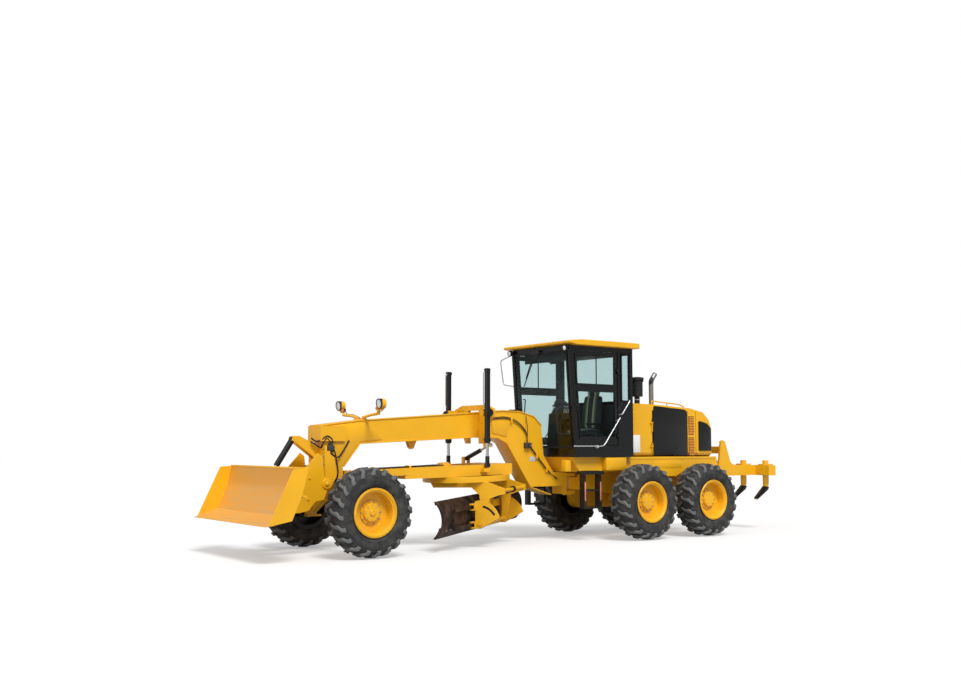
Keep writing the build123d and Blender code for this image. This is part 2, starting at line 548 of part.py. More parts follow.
# Rear frame: a hinge nose, a deck under cab and hood, and the tandem's cross tube
DECK_Z = 1450
DECK_LOW_Z = 1190
DECK_HALF = 700
SPINE_HALF = 420
REAR_X = -3960
AXLE_TUBE_R = 130
TANDEM_BORE_R = 95
TANDEM_IN_Y = 615
with BuildPart() as rear_frame:
    # columns: x, z of the deck's side
    plate(
        ((-300, DECK_Z), (REAR_X, DECK_Z), (REAR_X - 60, DECK_LOW_Z),
         (-3100, DECK_LOW_Z), (-2850, 1090), (-2500, 1090), (-2300, DECK_LOW_Z), (-480, DECK_LOW_Z)),
        at_y(0), 2 * DECK_HALF)
    plate(((-900, 865), (-900, 1195), (REAR_X + 20, 1195), (REAR_X + 20, 900), (-1500, 800)),
          at_y(0), 2 * SPINE_HALF)
    with BuildSketch(at_z(860)) as hinge:
        with BuildLine():
            Line((-901, -130), (-901, 130))
            Line((-901, 130), (PIVOT_X, 115))
            ThreePointArc((PIVOT_X, 115), (PIVOT_X + 115, 0), (PIVOT_X, -115))
            Line((PIVOT_X, -115), (-901, -130))
        make_face()
    extrude(hinge.sketch, amount=230)
    # The spine is cut back from the front frame's ears
    for low in (780, 1095):
        with BuildSketch(at_z(low)) as swing_room:
            with Locations((PIVOT_X, 0)):
                Circle(EAR_R + 30)
        extrude(swing_room.sketch, amount=75, mode=Mode.SUBTRACT)
    bar((PIVOT_X, 0, 770), (PIVOT_X, 0, 1180), PIVOT_PIN_R)
    bar((TANDEM_X, -TANDEM_IN_Y + 5, AXLE_Z), (TANDEM_X, TANDEM_IN_Y - 5, AXLE_Z), AXLE_TUBE_R)
    bar((TANDEM_X, -TANDEM_CASE_OUT_Y, AXLE_Z), (TANDEM_X, TANDEM_CASE_OUT_Y, AXLE_Z),
        TANDEM_BORE_R)
    block((TANDEM_X - 160, -SPINE_HALF, 640), (TANDEM_X + 160, SPINE_HALF, 880))
    block((REAR_X - 80, -480, 950), (REAR_X + 1, 480, 1400))
    for sign in (1, -1):
        plate(((-4035, 960), (-4035, 1240), (-4150, 1150), (-4150, 1050)),
              at_y(sign * (RIPPER_Y - 22 - FACE_GAP - 15)), 30)
        bar((RIPPER_PIVOT[0], sign * (RIPPER_Y - 55), RIPPER_PIVOT[2]),
            (RIPPER_PIVOT[0], sign * (RIPPER_Y + 40), RIPPER_PIVOT[2]), RIPPER_PIN_R)
        plate(((REAR_X - 30, 1390), (REAR_X - 80, 1390), (-4060, 1620), (-3990, 1640), (-3970, 1560)),
              at_y(sign * (RIPPER_EAR_GAP + FACE_GAP + 10)), 20)
    bar((CYL_HEAD[0], -70, CYL_HEAD[2]), (CYL_HEAD[0], 70, CYL_HEAD[2]), 22)
    block((TOW_X - 60, -60, 960), (REAR_X - 70, 60, 960 + TOW_T))
    bar((TOW_X, 0, 900), (TOW_X, 0, 1100), TOW_R, mode=Mode.SUBTRACT)
finish(rear_frame, "rear_frame")

CASE_R = 185
for side, sign in SIDES:
    with BuildPart() as case:
        with BuildSketch(at_y(sign * (TANDEM_IN_Y + TANDEM_CASE_OUT_Y) / 2)) as outline:
            with Locations((TANDEM_X, AXLE_Z)):
                SlotCenterToCenter(TANDEM_BASE, 2 * CASE_R)
                Circle(TANDEM_BORE_R + RUNNING_GAP, mode=Mode.SUBTRACT)
        extrude(outline.sketch, amount=(TANDEM_CASE_OUT_Y - TANDEM_IN_Y) / 2, both=True)
    finish(case, f"tandem_case_{side}")

# Door hinges: a pin stands on a foot beside the opening, and the leaf's knuckle turns on it
HINGE_OUT = 16                     # pin line outside the wall's outer face
HINGE_HIGH = 80
HINGE_R = 14
HINGE_PIN_R = 8


def hinge_feet(x, wall_y, heights, sign, towards):
    """Feet and pins on the wall. The leaf lies towards +X or -X of the pin line."""
    y = sign * (wall_y + HINGE_OUT)
    for z in heights:
        low_x, high_x = sorted((x - towards * 60, x))
        low_y, high_y = sorted((sign * (wall_y - 1), sign * (wall_y + HINGE_OUT + HINGE_R)))
        block((low_x, low_y, z - 20), (high_x, high_y, z))
        bar((x, y, z - 20), (x, y, z), HINGE_R)
        bar((x, y, z - 1), (x, y, z + HINGE_HIGH), HINGE_PIN_R)


def hinge_knuckles(x, wall_y, leaf_y, heights, sign, towards):
    """Knuckles and straps on the leaf, bored for the pins."""
    y = sign * (wall_y + HINGE_OUT)
    for z in heights:
        bar((x, y, z + TURN_GAP), (x, y, z + HINGE_HIGH - 5), HINGE_R)
        low_x, high_x = sorted((x + towards * 4, x + towards * 50))
        low_y, high_y = sorted((sign * (leaf_y - 1), y + sign * 6))
        block((low_x, low_y, z + 10), (high_x, high_y, z + 60))
        bar((x, y, z - 10), (x, y, z + HINGE_HIGH + 10), HINGE_PIN_R + RUNNING_GAP, mode=Mode.SUBTRACT)


# Engine hood, open at the side doors, over a plain engine block
# columns: x, z along the hood's top
HOOD_RIDGE = ((-1715, 2420), (-2300, 2410), (-3250, 2360))


def hood_top(x):
    """The height of the hood's top at an x."""
    for (front_x, front_z), (rear_x, rear_z) in zip(HOOD_RIDGE, HOOD_RIDGE[1:]):
        if rear_x <= x <= front_x:
            return front_z + (x - front_x) * (front_z - rear_z) / (front_x - rear_x)


HOOD_HALF = 700
HOOD_TOP_Z = 2420
HOOD_REAR_X = -3830
HOOD_SHEET = 30
HOOD_FRONT_X = -1715
DOOR_FRONT_X = -2250
DOOR_REAR_X = -3180
DOOR_LOW_Z = 1550
DOOR_HIGH_Z = 2300
HOOD_DOOR_T = 30
HOOD_DOOR_GAP = 7
HOOD_HINGES = (1650, 2080)
with BuildPart() as hood:
    # columns: x, z of the hood's side
    plate(
        ((HOOD_FRONT_X, DECK_Z + SEAT_GAP), *HOOD_RIDGE, (-3600, HOOD_TOP_Z - 130), (-3760, HOOD_TOP_Z - 260),
         (HOOD_REAR_X, HOOD_TOP_Z - 420), (HOOD_REAR_X, DECK_Z + SEAT_GAP)),
        at_y(0), 2 * HOOD_HALF)
    fillet(hood.part.edges().filter_by(Axis.X), 90)
    plate(
        ((HOOD_FRONT_X - HOOD_SHEET, DECK_Z - 10), (HOOD_FRONT_X - HOOD_SHEET, HOOD_TOP_Z - 40),
         (-3250, HOOD_TOP_Z - 100), (-3590, HOOD_TOP_Z - 180), (-3740, HOOD_TOP_Z - 300),
         (HOOD_REAR_X + HOOD_SHEET, HOOD_TOP_Z - 440), (HOOD_REAR_X + HOOD_SHEET, DECK_Z - 10)),
        at_y(0), 2 * (HOOD_HALF - HOOD_SHEET), mode=Mode.SUBTRACT)
    block((DOOR_REAR_X, -HOOD_HALF - 10, DOOR_LOW_Z), (DOOR_FRONT_X, HOOD_HALF + 10, DOOR_HIGH_Z),
          mode=Mode.SUBTRACT)
    for sign in (1, -1):
        hinge_feet(DOOR_FRONT_X, HOOD_HALF, HOOD_HINGES, sign, -1)
finish(hood, "hood")

for side, sign in SIDES:
    with BuildPart() as hood_door:
        face_y = HOOD_HALF - 2
        low_y, high_y = sorted((sign * (face_y - HOOD_DOOR_T), sign * face_y))
        block((DOOR_REAR_X + HOOD_DOOR_GAP, low_y, DOOR_LOW_Z + HOOD_DOOR_GAP),
              (DOOR_FRONT_X - HOOD_DOOR_GAP, high_y, DOOR_HIGH_Z - HOOD_DOOR_GAP))
        hinge_knuckles(DOOR_FRONT_X, HOOD_HALF, face_y, HOOD_HINGES, sign, -1)
    finish(hood_door, f"hood_door_{side}")

with BuildPart() as engine:
    block((-3200, -330, DECK_Z + SEAT_GAP), (-1950, 330, 2200))
finish(engine, "engine_block")

with BuildPart() as radiator:
    # columns: x, z
    plate(
        ((HOOD_REAR_X - SEAT_GAP, 1640), (HOOD_REAR_X - SEAT_GAP, 1980), (-3870, 2000),
         (-3930, 1960), (-3930, 1660), (-3870, 1640)),
        at_y(0), 2 * 560)
finish(radiator, "radiator_guard")

# Silencer pipe and air cleaner, two solids
STACK_X, STACK_Y = -2935, 0
STACK_R = 45
CLEANER_X, CLEANER_Y = -2070, 500
CLEANER_NECK_R = 50
with BuildPart() as stacks:
    stack_z = hood_top(STACK_X + STACK_R) + SEAT_GAP
    cleaner_z = hood_top(CLEANER_X + CLEANER_NECK_R) + SEAT_GAP
    pipe(((STACK_X, STACK_Y, stack_z), (STACK_X, STACK_Y, 2900), (STACK_X - 110, STACK_Y, 3040)),
         STACK_R, 80)
    bar((CLEANER_X, CLEANER_Y, cleaner_z), (CLEANER_X, CLEANER_Y, 2560), CLEANER_NECK_R)
    bar((CLEANER_X, CLEANER_Y, 2555), (CLEANER_X, CLEANER_Y, 2860), 105)
    bar((CLEANER_X, CLEANER_Y, 2859), (CLEANER_X, CLEANER_Y, 2900), 125)
finish(stacks, "hood_stacks")

# Cab: posts, sills and roof rails round cut windows, doors on both sides
CAB_HALF = 810
CAB_T = 60
CAB_LOW_Z = DECK_Z + SEAT_GAP
CAB_HIGH_Z = 3390
CAB_FRONT_LOW_X = -290
CAB_FRONT_HIGH_X = -150
CAB_REAR_X = -1665
FLOOR_T = 50
POST = 70
BELT_Z = 2450                      # lower edge of the rear quarter windows
DOOR_SILL_Z = 1650
DOOR_HEAD_Z = CAB_HIGH_Z - 80
DOOR_MID_Z = DOOR_SILL_Z + 0.6084 * (DOOR_HEAD_Z - DOOR_SILL_Z)
HINGE_X = -1300                    # door hinge line
DOOR_GAP = 8
DOOR_LEAF_T = 40
CAB_HINGES = (DOOR_SILL_Z + 150, DOOR_HEAD_Z - 360)
# columns: x, z of the cab's side
CAB_SIDE = (
    (CAB_FRONT_LOW_X, CAB_LOW_Z), (CAB_FRONT_HIGH_X, CAB_HIGH_Z),
    (CAB_REAR_X, CAB_HIGH_Z), (CAB_REAR_X, CAB_LOW_Z),
)
LEAN = (CAB_FRONT_HIGH_X - CAB_FRONT_LOW_X) / (CAB_HIGH_Z - CAB_LOW_Z)


def cab_front(z, back=0):
    """The x of the cab's leaning front at a height."""
    return CAB_FRONT_LOW_X + (z - CAB_LOW_Z) * LEAN - back


def door_outline(grow):
    """The door's x, z outline, grown or shrunk all round."""
    low, high = DOOR_SILL_Z - grow, DOOR_HEAD_Z + grow
    return (
        (cab_front(low, POST - grow), low), (cab_front(high, POST - grow), high),
        (HINGE_X - grow, high), (HINGE_X - grow, low),
    )


with BuildPart() as cab:
    plate(CAB_SIDE, at_y(0), 2 * CAB_HALF)
    with BuildSketch(at_y(0)) as room:
        Polygon((cab_front(CAB_LOW_Z + FLOOR_T, CAB_T), CAB_LOW_Z + FLOOR_T),
                (cab_front(CAB_HIGH_Z - CAB_T, CAB_T), CAB_HIGH_Z - CAB_T),
                (CAB_REAR_X + CAB_T, CAB_HIGH_Z - CAB_T), (CAB_REAR_X + CAB_T, CAB_LOW_Z + FLOOR_T),
                align=None)
    extrude(room.sketch, amount=CAB_HALF - CAB_T, both=True, mode=Mode.SUBTRACT)
    plate(door_outline(0), at_y(0), 2 * CAB_HALF + 20, mode=Mode.SUBTRACT)
    # windscreen, rear window and the quarter windows
    block((cab_front(1600, 200), -CAB_HALF + POST, 1620), (0, CAB_HALF - POST, CAB_HIGH_Z - POST - 20),
          mode=Mode.SUBTRACT)
    block((CAB_REAR_X - 20, -CAB_HALF + POST, BELT_Z), (CAB_REAR_X + 2 * CAB_T, CAB_HALF - POST,
          CAB_HIGH_Z - POST - 20), mode=Mode.SUBTRACT)
    block((CAB_REAR_X + POST, -CAB_HALF - 10, BELT_Z), (HINGE_X - POST - 15, CAB_HALF + 10,
          CAB_HIGH_Z - POST - 20), mode=Mode.SUBTRACT)
    for sign in (1, -1):
        hinge_feet(HINGE_X, CAB_HALF, CAB_HINGES, sign, 1)
finish(cab, "cab_shell")

ROOF_HALF = 940
ROOF_FRONT_X = -60
ROOF_REAR_X = -1730
ROOF_Z = CAB_HIGH_Z + 100
with BuildPart() as roof:
    # columns: x, z
    plate(
        ((ROOF_REAR_X, CAB_HIGH_Z + SEAT_GAP), (ROOF_REAR_X, ROOF_Z - 15), (ROOF_REAR_X + 40, ROOF_Z),
         (-350, ROOF_Z), (ROOF_FRONT_X, ROOF_Z - 30), (ROOF_FRONT_X, ROOF_Z - 75),
         (-250, CAB_HIGH_Z + SEAT_GAP)),
        at_y(0), 2 * ROOF_HALF)
finish(roof, "cab_roof")

GLASS_T = 8
GLASS_LAP = 12
with BuildPart() as glass:
    low, high = 1620 - GLASS_LAP, CAB_HIGH_Z - POST - 20 + GLASS_LAP
    for x_of in (lambda z: cab_front(z, -SEAT_GAP), lambda z: CAB_REAR_X - GLASS_T - SEAT_GAP):
        z0 = low if x_of(low) > -1000 else BELT_Z - GLASS_LAP
        with BuildSketch(at_y(0)) as pane:
            Polygon((x_of(z0), z0), (x_of(high), high), (x_of(high) + GLASS_T, high),
                    (x_of(z0) + GLASS_T, z0), align=None)
        extrude(pane.sketch, amount=CAB_HALF - POST + GLASS_LAP, both=True)
    for sign in (1, -1):
        low_y, high_y = sorted((sign * (CAB_HALF + SEAT_GAP), sign * (CAB_HALF + SEAT_GAP + GLASS_T)))
        block((CAB_REAR_X + POST - GLASS_LAP, low_y, BELT_Z - GLASS_LAP),
              (HINGE_X - POST - 15 + GLASS_LAP, high_y, high))
finish(glass, "cab_glass")

# columns: lower and upper edge of a door window
DOOR_PANES = ((DOOR_SILL_Z + 140, DOOR_MID_Z - 60), (DOOR_MID_Z + 60, DOOR_HEAD_Z - 80))
DOOR_STILE = 70
for side, sign in SIDES:
    with BuildPart() as door:
        with BuildSketch(at_y(sign * (CAB_HALF - CAB_T / 2))) as leaf:
            Polygon(*door_outline(-DOOR_GAP), align=None)
            for low, high in DOOR_PANES:
                Polygon((cab_front(low, POST + DOOR_STILE), low),
                        (cab_front(high, POST + DOOR_STILE), high),
                        (HINGE_X + DOOR_STILE, high), (HINGE_X + DOOR_STILE, low), align=None,
                        mode=Mode.SUBTRACT)
        extrude(leaf.sketch, amount=DOOR_LEAF_T / 2, both=True)
        hinge_knuckles(HINGE_X, CAB_HALF, CAB_HALF - CAB_T / 2 + DOOR_LEAF_T / 2, CAB_HINGES, sign, 1)
    finish(door, f"cab_door_{side}")
    with BuildPart() as door_glass:
        for low, high in DOOR_PANES:
            low, high = low - GLASS_LAP, high + GLASS_LAP
            plate(
                ((cab_front(low, POST + DOOR_STILE - GLASS_LAP), low),
                 (cab_front(high, POST + DOOR_STILE - GLASS_LAP), high),
                 (HINGE_X + DOOR_STILE - GLASS_LAP, high), (HINGE_X + DOOR_STILE - GLASS_LAP, low)),
                at_y(sign * (CAB_HALF - CAB_T / 2 + DOOR_LEAF_T / 2 + SEAT_GAP + GLASS_T / 2)), GLASS_T)
    finish(door_glass, f"door_glass_{side}")

SEAT_X = -1180
SEAT_HALF = 250
FLOOR_Z = CAB_LOW_Z + FLOOR_T
CUSHION_Z = FLOOR_Z + 330
BACKREST_Z = CUSHION_Z + 130 + SEAT_GAP
with BuildPart() as cushions:
    block((SEAT_X - 250, -SEAT_HALF, CUSHION_Z + SEAT_GAP), (SEAT_X + 250, SEAT_HALF, CUSHION_Z + 130))
    fillet(cushions.part.edges().filter_by(Axis.Z), 60)
    plate(
        ((SEAT_X - 120, BACKREST_Z), (SEAT_X - 240, BACKREST_Z),
         (SEAT_X - 320, BACKREST_Z + 690), (SEAT_X - 220, BACKREST_Z + 690)),
        at_y(0), 2 * SEAT_HALF - 40)
finish(cushions, "seat_cushions")

# Seat base and steering console, two solids on the cab floor
with BuildPart() as console:
    block((SEAT_X - 180, -180, FLOOR_Z), (SEAT_X + 180, 180, CUSHION_Z))
    # columns: x, z
    plate(
        ((-560, FLOOR_Z), (-420, FLOOR_Z), (-470, 2150), (-600, 2330), (-680, 2290), (-560, 2050)),
        at_y(0), 260)
    bar((-690, 0, 2300), (-640, 0, 2350), 30)
    ring_frame = Plane(origin=(-705, 0, 2315), z_dir=(-1, 0, 0.9))
    with BuildSketch(ring_frame) as rim_disc:
        Circle(200)
        Circle(172, mode=Mode.SUBTRACT)
        Rectangle(370, 34)
    extrude(rim_disc.sketch, amount=26)
    for sign in (1, -1):
        plate(((-620, 2120), (-560, 2120), (-560, 2230), (-620, 2230)), at_y(sign * 180), 110)
finish(console, "cab_controls")

# Front bucket, on arms that swing from a bracket on the nose
BUCKET_HALF = 1300
BUCKET_WALL = 16
LIP_X = 5700
LIP_Z = 530
BUCKET_PIVOT_X = 4250
BUCKET_PIVOT_Z = 1065
BUCKET_PIN_R = 35
ARM_Y = 300
BRACKET_Y = 262
HORN_PIN = (4680, 0, 1740)
HORN_PIN_R = 22
ROD_EYE = (5035, 0, 1190)
EYE_HALF = 46
# columns: x, z down the back of the bucket to its lip
BUCKET_BACK = ((5090, 1330), (5165, 950), (5310, 640), (LIP_X, LIP_Z))
with BuildPart() as bucket:
    inner = [(x + BUCKET_WALL, z + (0 if i == 0 else BUCKET_WALL))
             for i, (x, z) in enumerate(BUCKET_BACK)]
    inner[-1] = (LIP_X, LIP_Z + 6)
    plate((*BUCKET_BACK, *reversed(inner)), at_y(0), 2 * BUCKET_HALF)
    for sign in (1, -1):
        # columns: x, z of a side plate
        plate(
            ((5065, 1290), (5100, 1320), (5290, 1310), (5640, 560), (5600, 545), (5300, 600),
             (5150, 950)),
            at_y(sign * (BUCKET_HALF - 10)), 20)
    block((5040, -BUCKET_HALF, 1310), (5110, BUCKET_HALF, 1335))
    for sign in (1, -1):
        with BuildSketch(at_y(sign * ARM_Y)) as arm:
            Polygon((BUCKET_PIVOT_X - 20, 990), (BUCKET_PIVOT_X - 60, 1090), (4290, 1180), (4330, 1480),
                    (4400, 1530), (4480, 1440), (4640, 1270), (5100, 1290), (5173, 950),
                    (5310, 650), (4700, 640), (4540, 670), (4440, 800), (4290, 830), align=None)
            with Locations((BUCKET_PIVOT_X, BUCKET_PIVOT_Z)):
                Circle(80)
                Circle(BUCKET_PIN_R + RUNNING_GAP, mode=Mode.SUBTRACT)
        extrude(arm.sketch, amount=12, both=True)
        plate(((ROD_EYE[0] - 40, 1160), (ROD_EYE[0] - 40, 1220), (5112, 1290), (5168, 1000)),
              at_y(sign * (EYE_HALF + FACE_GAP + 10)), 20)
    bar((4990, -ARM_Y, 760), (4990, ARM_Y, 760), 45)
finish(bucket, "front_bucket")

with BuildPart() as bracket:
    block((4230 + SEAT_GAP, -BRACKET_Y - 12, 930), (4262, BRACKET_Y + 12, 1640))
    for sign in (1, -1):
        with BuildSketch(at_y(sign * BRACKET_Y)) as cheek:
            Polygon((4060, 1180), (4060, 1380), (4180, 1560), (4255, 1560), (4255, 940), (4180, 960),
                    align=None)
            with Locations((BUCKET_PIVOT_X, BUCKET_PIVOT_Z)):
                Circle(75)
        extrude(cheek.sketch, amount=12, both=True)
        bar((BUCKET_PIVOT_X, sign * (BRACKET_Y - 12), BUCKET_PIVOT_Z),
            (BUCKET_PIVOT_X, sign * (ARM_Y + 40), BUCKET_PIVOT_Z), BUCKET_PIN_R)
        # columns: x, z of a horn
        plate(
            ((4261, 1400), (4261, 1630), (4600, 1790), (4700, 1780), (4720, 1720), (4660, 1690)),
            at_y(sign * (EYE_HALF + FACE_GAP + 10)), 20)
    bar((HORN_PIN[0], -EYE_HALF - 25, HORN_PIN[2]), (HORN_PIN[0], EYE_HALF + 25, HORN_PIN[2]), HORN_PIN_R)
finish(bracket, "bucket_bracket")

cylinder("bucket_barrel", "bucket_rod", HORN_PIN, ROD_EYE, 480, 45, 25, HORN_PIN_R, EYE_HALF)

# Rear ripper, on arms from the rear frame
SHANK_SPACING = 570
SHANK_X = -5560
with BuildPart() as ripper:
    for sign in (1, -1):
        with BuildSketch(at_y(sign * RIPPER_Y)) as arm:
            Polygon((RIPPER_PIVOT[0] + 38, 1065), (RIPPER_PIVOT[0] + 38, 1135), (-4350, 1260),
                    (-4420, 1740), (-4460, 1765), (-4540, 1740), (-4690, 1330), (-4800, 1270),
                    (-5450, 1270), (-5450, 1070), (-4300, 1060), align=None)
            with Locations((RIPPER_PIVOT[0], RIPPER_PIVOT[2])):
                Circle(RIPPER_PIN_R + RUNNING_GAP, mode=Mode.SUBTRACT)
        extrude(arm.sketch, amount=22, both=True)
    block((-5640, -760, 1065), (-5430, 760, 1265))
    block((-4560, -RIPPER_Y, 1500), (-4500, RIPPER_Y, 1640))
    for sign in (1, -1):
        plate(((-4510, 1640), (-4510, 1520), (TOWER_PIN[0] + 30, 1660), (TOWER_PIN[0] + 40, 1730),
               (-4500, 1750)), at_y(sign * 60), 20)
    for y in (-SHANK_SPACING, 0, SHANK_SPACING):
        block((RIPPER_REAR_X, y - 75, 1085), (-5420, y + 75, 1290))
        # columns: x, z of a shank and its tip
        plate(
            ((SHANK_X - 60, 1360), (SHANK_X + 60, 1360), (SHANK_X + 60, 840), (SHANK_X + 330, 615),
             (SHANK_X + 300, 585), (SHANK_X - 20, 770), (SHANK_X - 60, 900)),
            at_y(y), 60)
finish(ripper, "ripper_frame")

cylinder("ripper_barrel", "ripper_rod", CYL_HEAD, TOWER_PIN, 340, RIPPER_EAR_GAP, 28, 22, 40)

# Ladders, platform boxes and grab rails, apart from each other on the rear frame
LADDER_X = -870
LADDER_LENGTH = 400
LADDER_OUT_Y = 830
LADDER_LOW_Z = 560
with BuildPart() as steps:
    for sign in (1, -1):
        low_y, high_y = sorted((sign * (DECK_HALF + SEAT_GAP), sign * LADDER_OUT_Y))
        block((LADDER_X - 60, low_y, 1150), (LADDER_X + LADDER_LENGTH + 60, high_y, 1210))
        for x in (LADDER_X, LADDER_X + LADDER_LENGTH - 45):
            block((x, low_y, LADDER_LOW_Z), (x + 45, high_y, 1151))
        for z in (LADDER_LOW_Z, 860):
            block((LADDER_X + 44, low_y, z), (LADDER_X + LADDER_LENGTH - 44, high_y, z + 30))
finish(steps, "access_steps")

# Work lamps on a branched arm over the beam
LAMP_X = 3500
LAMP_Y = 647
LAMP_Z = 2285
LAMP_R = 78
with BuildPart() as lamps:
    foot_z = beam_top(LAMP_X - 60) + TURN_GAP
    block((LAMP_X - 60, -120, foot_z), (LAMP_X + 60, 120, foot_z + 25))
    for sign in (1, -1):
        pipe(((LAMP_X, sign * 80, 2085), (LAMP_X, sign * 330, 2120), (LAMP_X, sign * 520, 2130),
              (LAMP_X, sign * 600, 2225)), 22, 40)
        bar((LAMP_X - 45, sign * LAMP_Y, LAMP_Z), (LAMP_X + 45, sign * LAMP_Y, LAMP_Z), LAMP_R)
finish(lamps, "front_lamps")

# Centre shift cylinder: the frame's local x is +Y, and its local y is -X
across = Plane(origin=(0, 0, 0), x_dir=(0, 1, 0), z_dir=(0, 0, 1))
cylinder("shift_barrel", "shift_rod", (SHIFT_START_Y, -SHIFT_X, SHIFT_START_Z),
         (SHIFT_END_Y, -SHIFT_X, SHIFT_END_Z), 450, 36, 18, SHIFT_PIN_R, SHIFT_EYE_HALF, frame=across)
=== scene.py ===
import json
import math

import bmesh
import bpy
from bpy.props import FloatProperty, FloatVectorProperty, IntProperty, PointerProperty
from mathutils import Matrix, Vector

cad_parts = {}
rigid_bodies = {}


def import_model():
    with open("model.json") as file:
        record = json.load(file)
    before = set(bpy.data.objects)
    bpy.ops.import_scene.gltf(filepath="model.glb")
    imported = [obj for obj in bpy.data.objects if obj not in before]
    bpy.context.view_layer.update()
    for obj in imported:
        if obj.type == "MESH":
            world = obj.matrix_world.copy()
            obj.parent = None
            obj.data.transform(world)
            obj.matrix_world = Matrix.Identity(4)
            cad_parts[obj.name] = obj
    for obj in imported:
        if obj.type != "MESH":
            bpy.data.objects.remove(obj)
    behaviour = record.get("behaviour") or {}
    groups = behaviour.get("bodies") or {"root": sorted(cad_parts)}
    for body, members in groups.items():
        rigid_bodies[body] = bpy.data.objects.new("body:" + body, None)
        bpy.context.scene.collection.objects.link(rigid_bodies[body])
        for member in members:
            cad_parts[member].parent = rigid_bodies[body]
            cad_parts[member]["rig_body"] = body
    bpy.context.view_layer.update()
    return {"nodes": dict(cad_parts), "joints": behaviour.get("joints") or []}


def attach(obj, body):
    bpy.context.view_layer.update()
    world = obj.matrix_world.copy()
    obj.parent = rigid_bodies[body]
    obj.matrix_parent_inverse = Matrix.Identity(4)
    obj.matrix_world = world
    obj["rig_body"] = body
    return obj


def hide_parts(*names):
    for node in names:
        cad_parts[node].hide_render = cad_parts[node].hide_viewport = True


bl_info = {
    "name": "Motor Grader",
    "version": (1, 0, 0),
    "blender": (4, 5, 0),
    "location": "View3D > Sidebar > Grader",
    "description": "Dresses the motor grader's frame with finished pieces and materials",
    "category": "Add Mesh",
}

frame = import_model()
JOINTS = {joint["name"]: joint for joint in frame["joints"]}
SIDES = (("left", 1), ("right", -1))
AXLES = ("front", "middle", "rear")
IMAGE_WIDTH = 961
SENSOR_WIDTH = 36.0


def joint_at(name):
    return Vector(JOINTS[name]["pos_m"])


def joint_axis(name):
    return Vector(JOINTS[name]["axis"])


def srgb(red, green, blue):
    """A colour from 0 to 255, as the linear colour that shaders take."""
    linear = [(c / 12.92 if c <= 0.04045 else ((c + 0.055) / 1.055) ** 2.4)
              for c in (red / 255, green / 255, blue / 255)]
    return (*linear, 1.0)


# Shader maths

class Term:
    """A number in a node tree that takes part in Python expressions."""

    def __init__(self, paint, socket):
        self.paint = paint
        self.socket = socket

    def math(self, operation, other=0.0, flip=False):
        """This number and another, or with flip the other and this, put through an operation."""
        node = self.paint.node("ShaderNodeMath", {"operation": operation},
                               {0: other, 1: self} if flip else {0: self, 1: other})
        return Term(self.paint, node.outputs[0])

    def __add__(self, other):
        return self.math("ADD", other)

    def __sub__(self, other):
        return self.math("SUBTRACT", other)

    def __rsub__(self, other):
        return self.math("SUBTRACT", other, True)

    def __mul__(self, other):
        return self.math("MULTIPLY", other)

    def __truediv__(self, other):
        return self.math("DIVIDE", other)

    __radd__ = __add__
    __rmul__ = __mul__

    def over(self, limit):
        return self.math("GREATER_THAN", limit)

    def under(self, limit):
        return self.math("LESS_THAN", limit)

    def sine(self):
        return self.math("SINE")

    def absolute(self):
        return self.math("ABSOLUTE")

    def ramp(self, low, high):
        """0 below low, 1 above high, and smooth between. With low above high it falls."""
        start, end, flip = (low, high, False) if low < high else (high, low, True)
        settings = {"interpolation_type": "SMOOTHSTEP"}
        node = self.paint.node("ShaderNodeMapRange", settings,
                               {"Value": self, "From Min": start, "From Max": end})
        result = Term(self.paint, node.outputs[0])
        return 1.0 - result if flip else result


class Paint:
    """One material's node tree."""

    def __init__(self, name):
        self.material = bpy.data.materials.new(name)
        self.material.use_nodes = True
        self.tree = self.material.node_tree
        self.shader = self.tree.nodes["Principled BSDF"]
        self.output = self.tree.nodes["Material Output"]

    def feed(self, socket, value):
        if isinstance(value, Term):
            value = value.socket
        if isinstance(value, bpy.types.NodeSocket):
            self.tree.links.new(value, socket)
        else:
            socket.default_value = value

    def node(self, kind, settings=None, inputs=None):
        made = self.tree.nodes.new(kind)
        for key, value in (settings or {}).items():
            setattr(made, key, value)
        for key, value in (inputs or {}).items():
            self.feed(made.inputs[key], value)
        return made

    def coordinates(self, kind):
        where = self.node("ShaderNodeTexCoord")
        split = self.node("ShaderNodeSeparateXYZ", None, {0: where.outputs[kind]})
        return [Term(self, socket) for socket in split.outputs]

    def place(self):
        """The place on the piece in metres, as x, y and z."""
        return self.coordinates("Object")

    def facing(self):
        """The surface's own direction, as x, y and z."""
        return self.coordinates("Normal")

    def noise(self, scale, detail=3.0, rough=0.5, stretch=(1, 1, 1)):
        where = self.node("ShaderNodeTexCoord")
        mapped = self.node("ShaderNodeMapping", None, {"Vector": where.outputs["Object"], "Scale": stretch})
        made = self.node("ShaderNodeTexNoise", None, {
            "Vector": mapped.outputs[0], "Scale": scale, "Detail": detail, "Roughness": rough})
        return Term(self, made.outputs["Fac"])

    def blend(self, factor, first, second):
        """A colour that goes from first to second."""
        made = self.node("ShaderNodeMix", {"data_type": "RGBA"})
        for index, value in ((0, factor), (6, first), (7, second)):
            self.feed(made.inputs[index], value)
        return made.outputs[2]

    def bump(self, height, distance, strength=1.0, under=None):
        inputs = {"Height": height, "Distance": distance, "Strength": strength}
        if under is not None:
            inputs["Normal"] = under
        return self.node("ShaderNodeBump", None, inputs).outputs[0]

    def finish(self, **sockets):
        for key, value in sockets.items():
            self.feed(self.shader.inputs[key.replace("_", " ")], value)
        return self.material


# Finishes

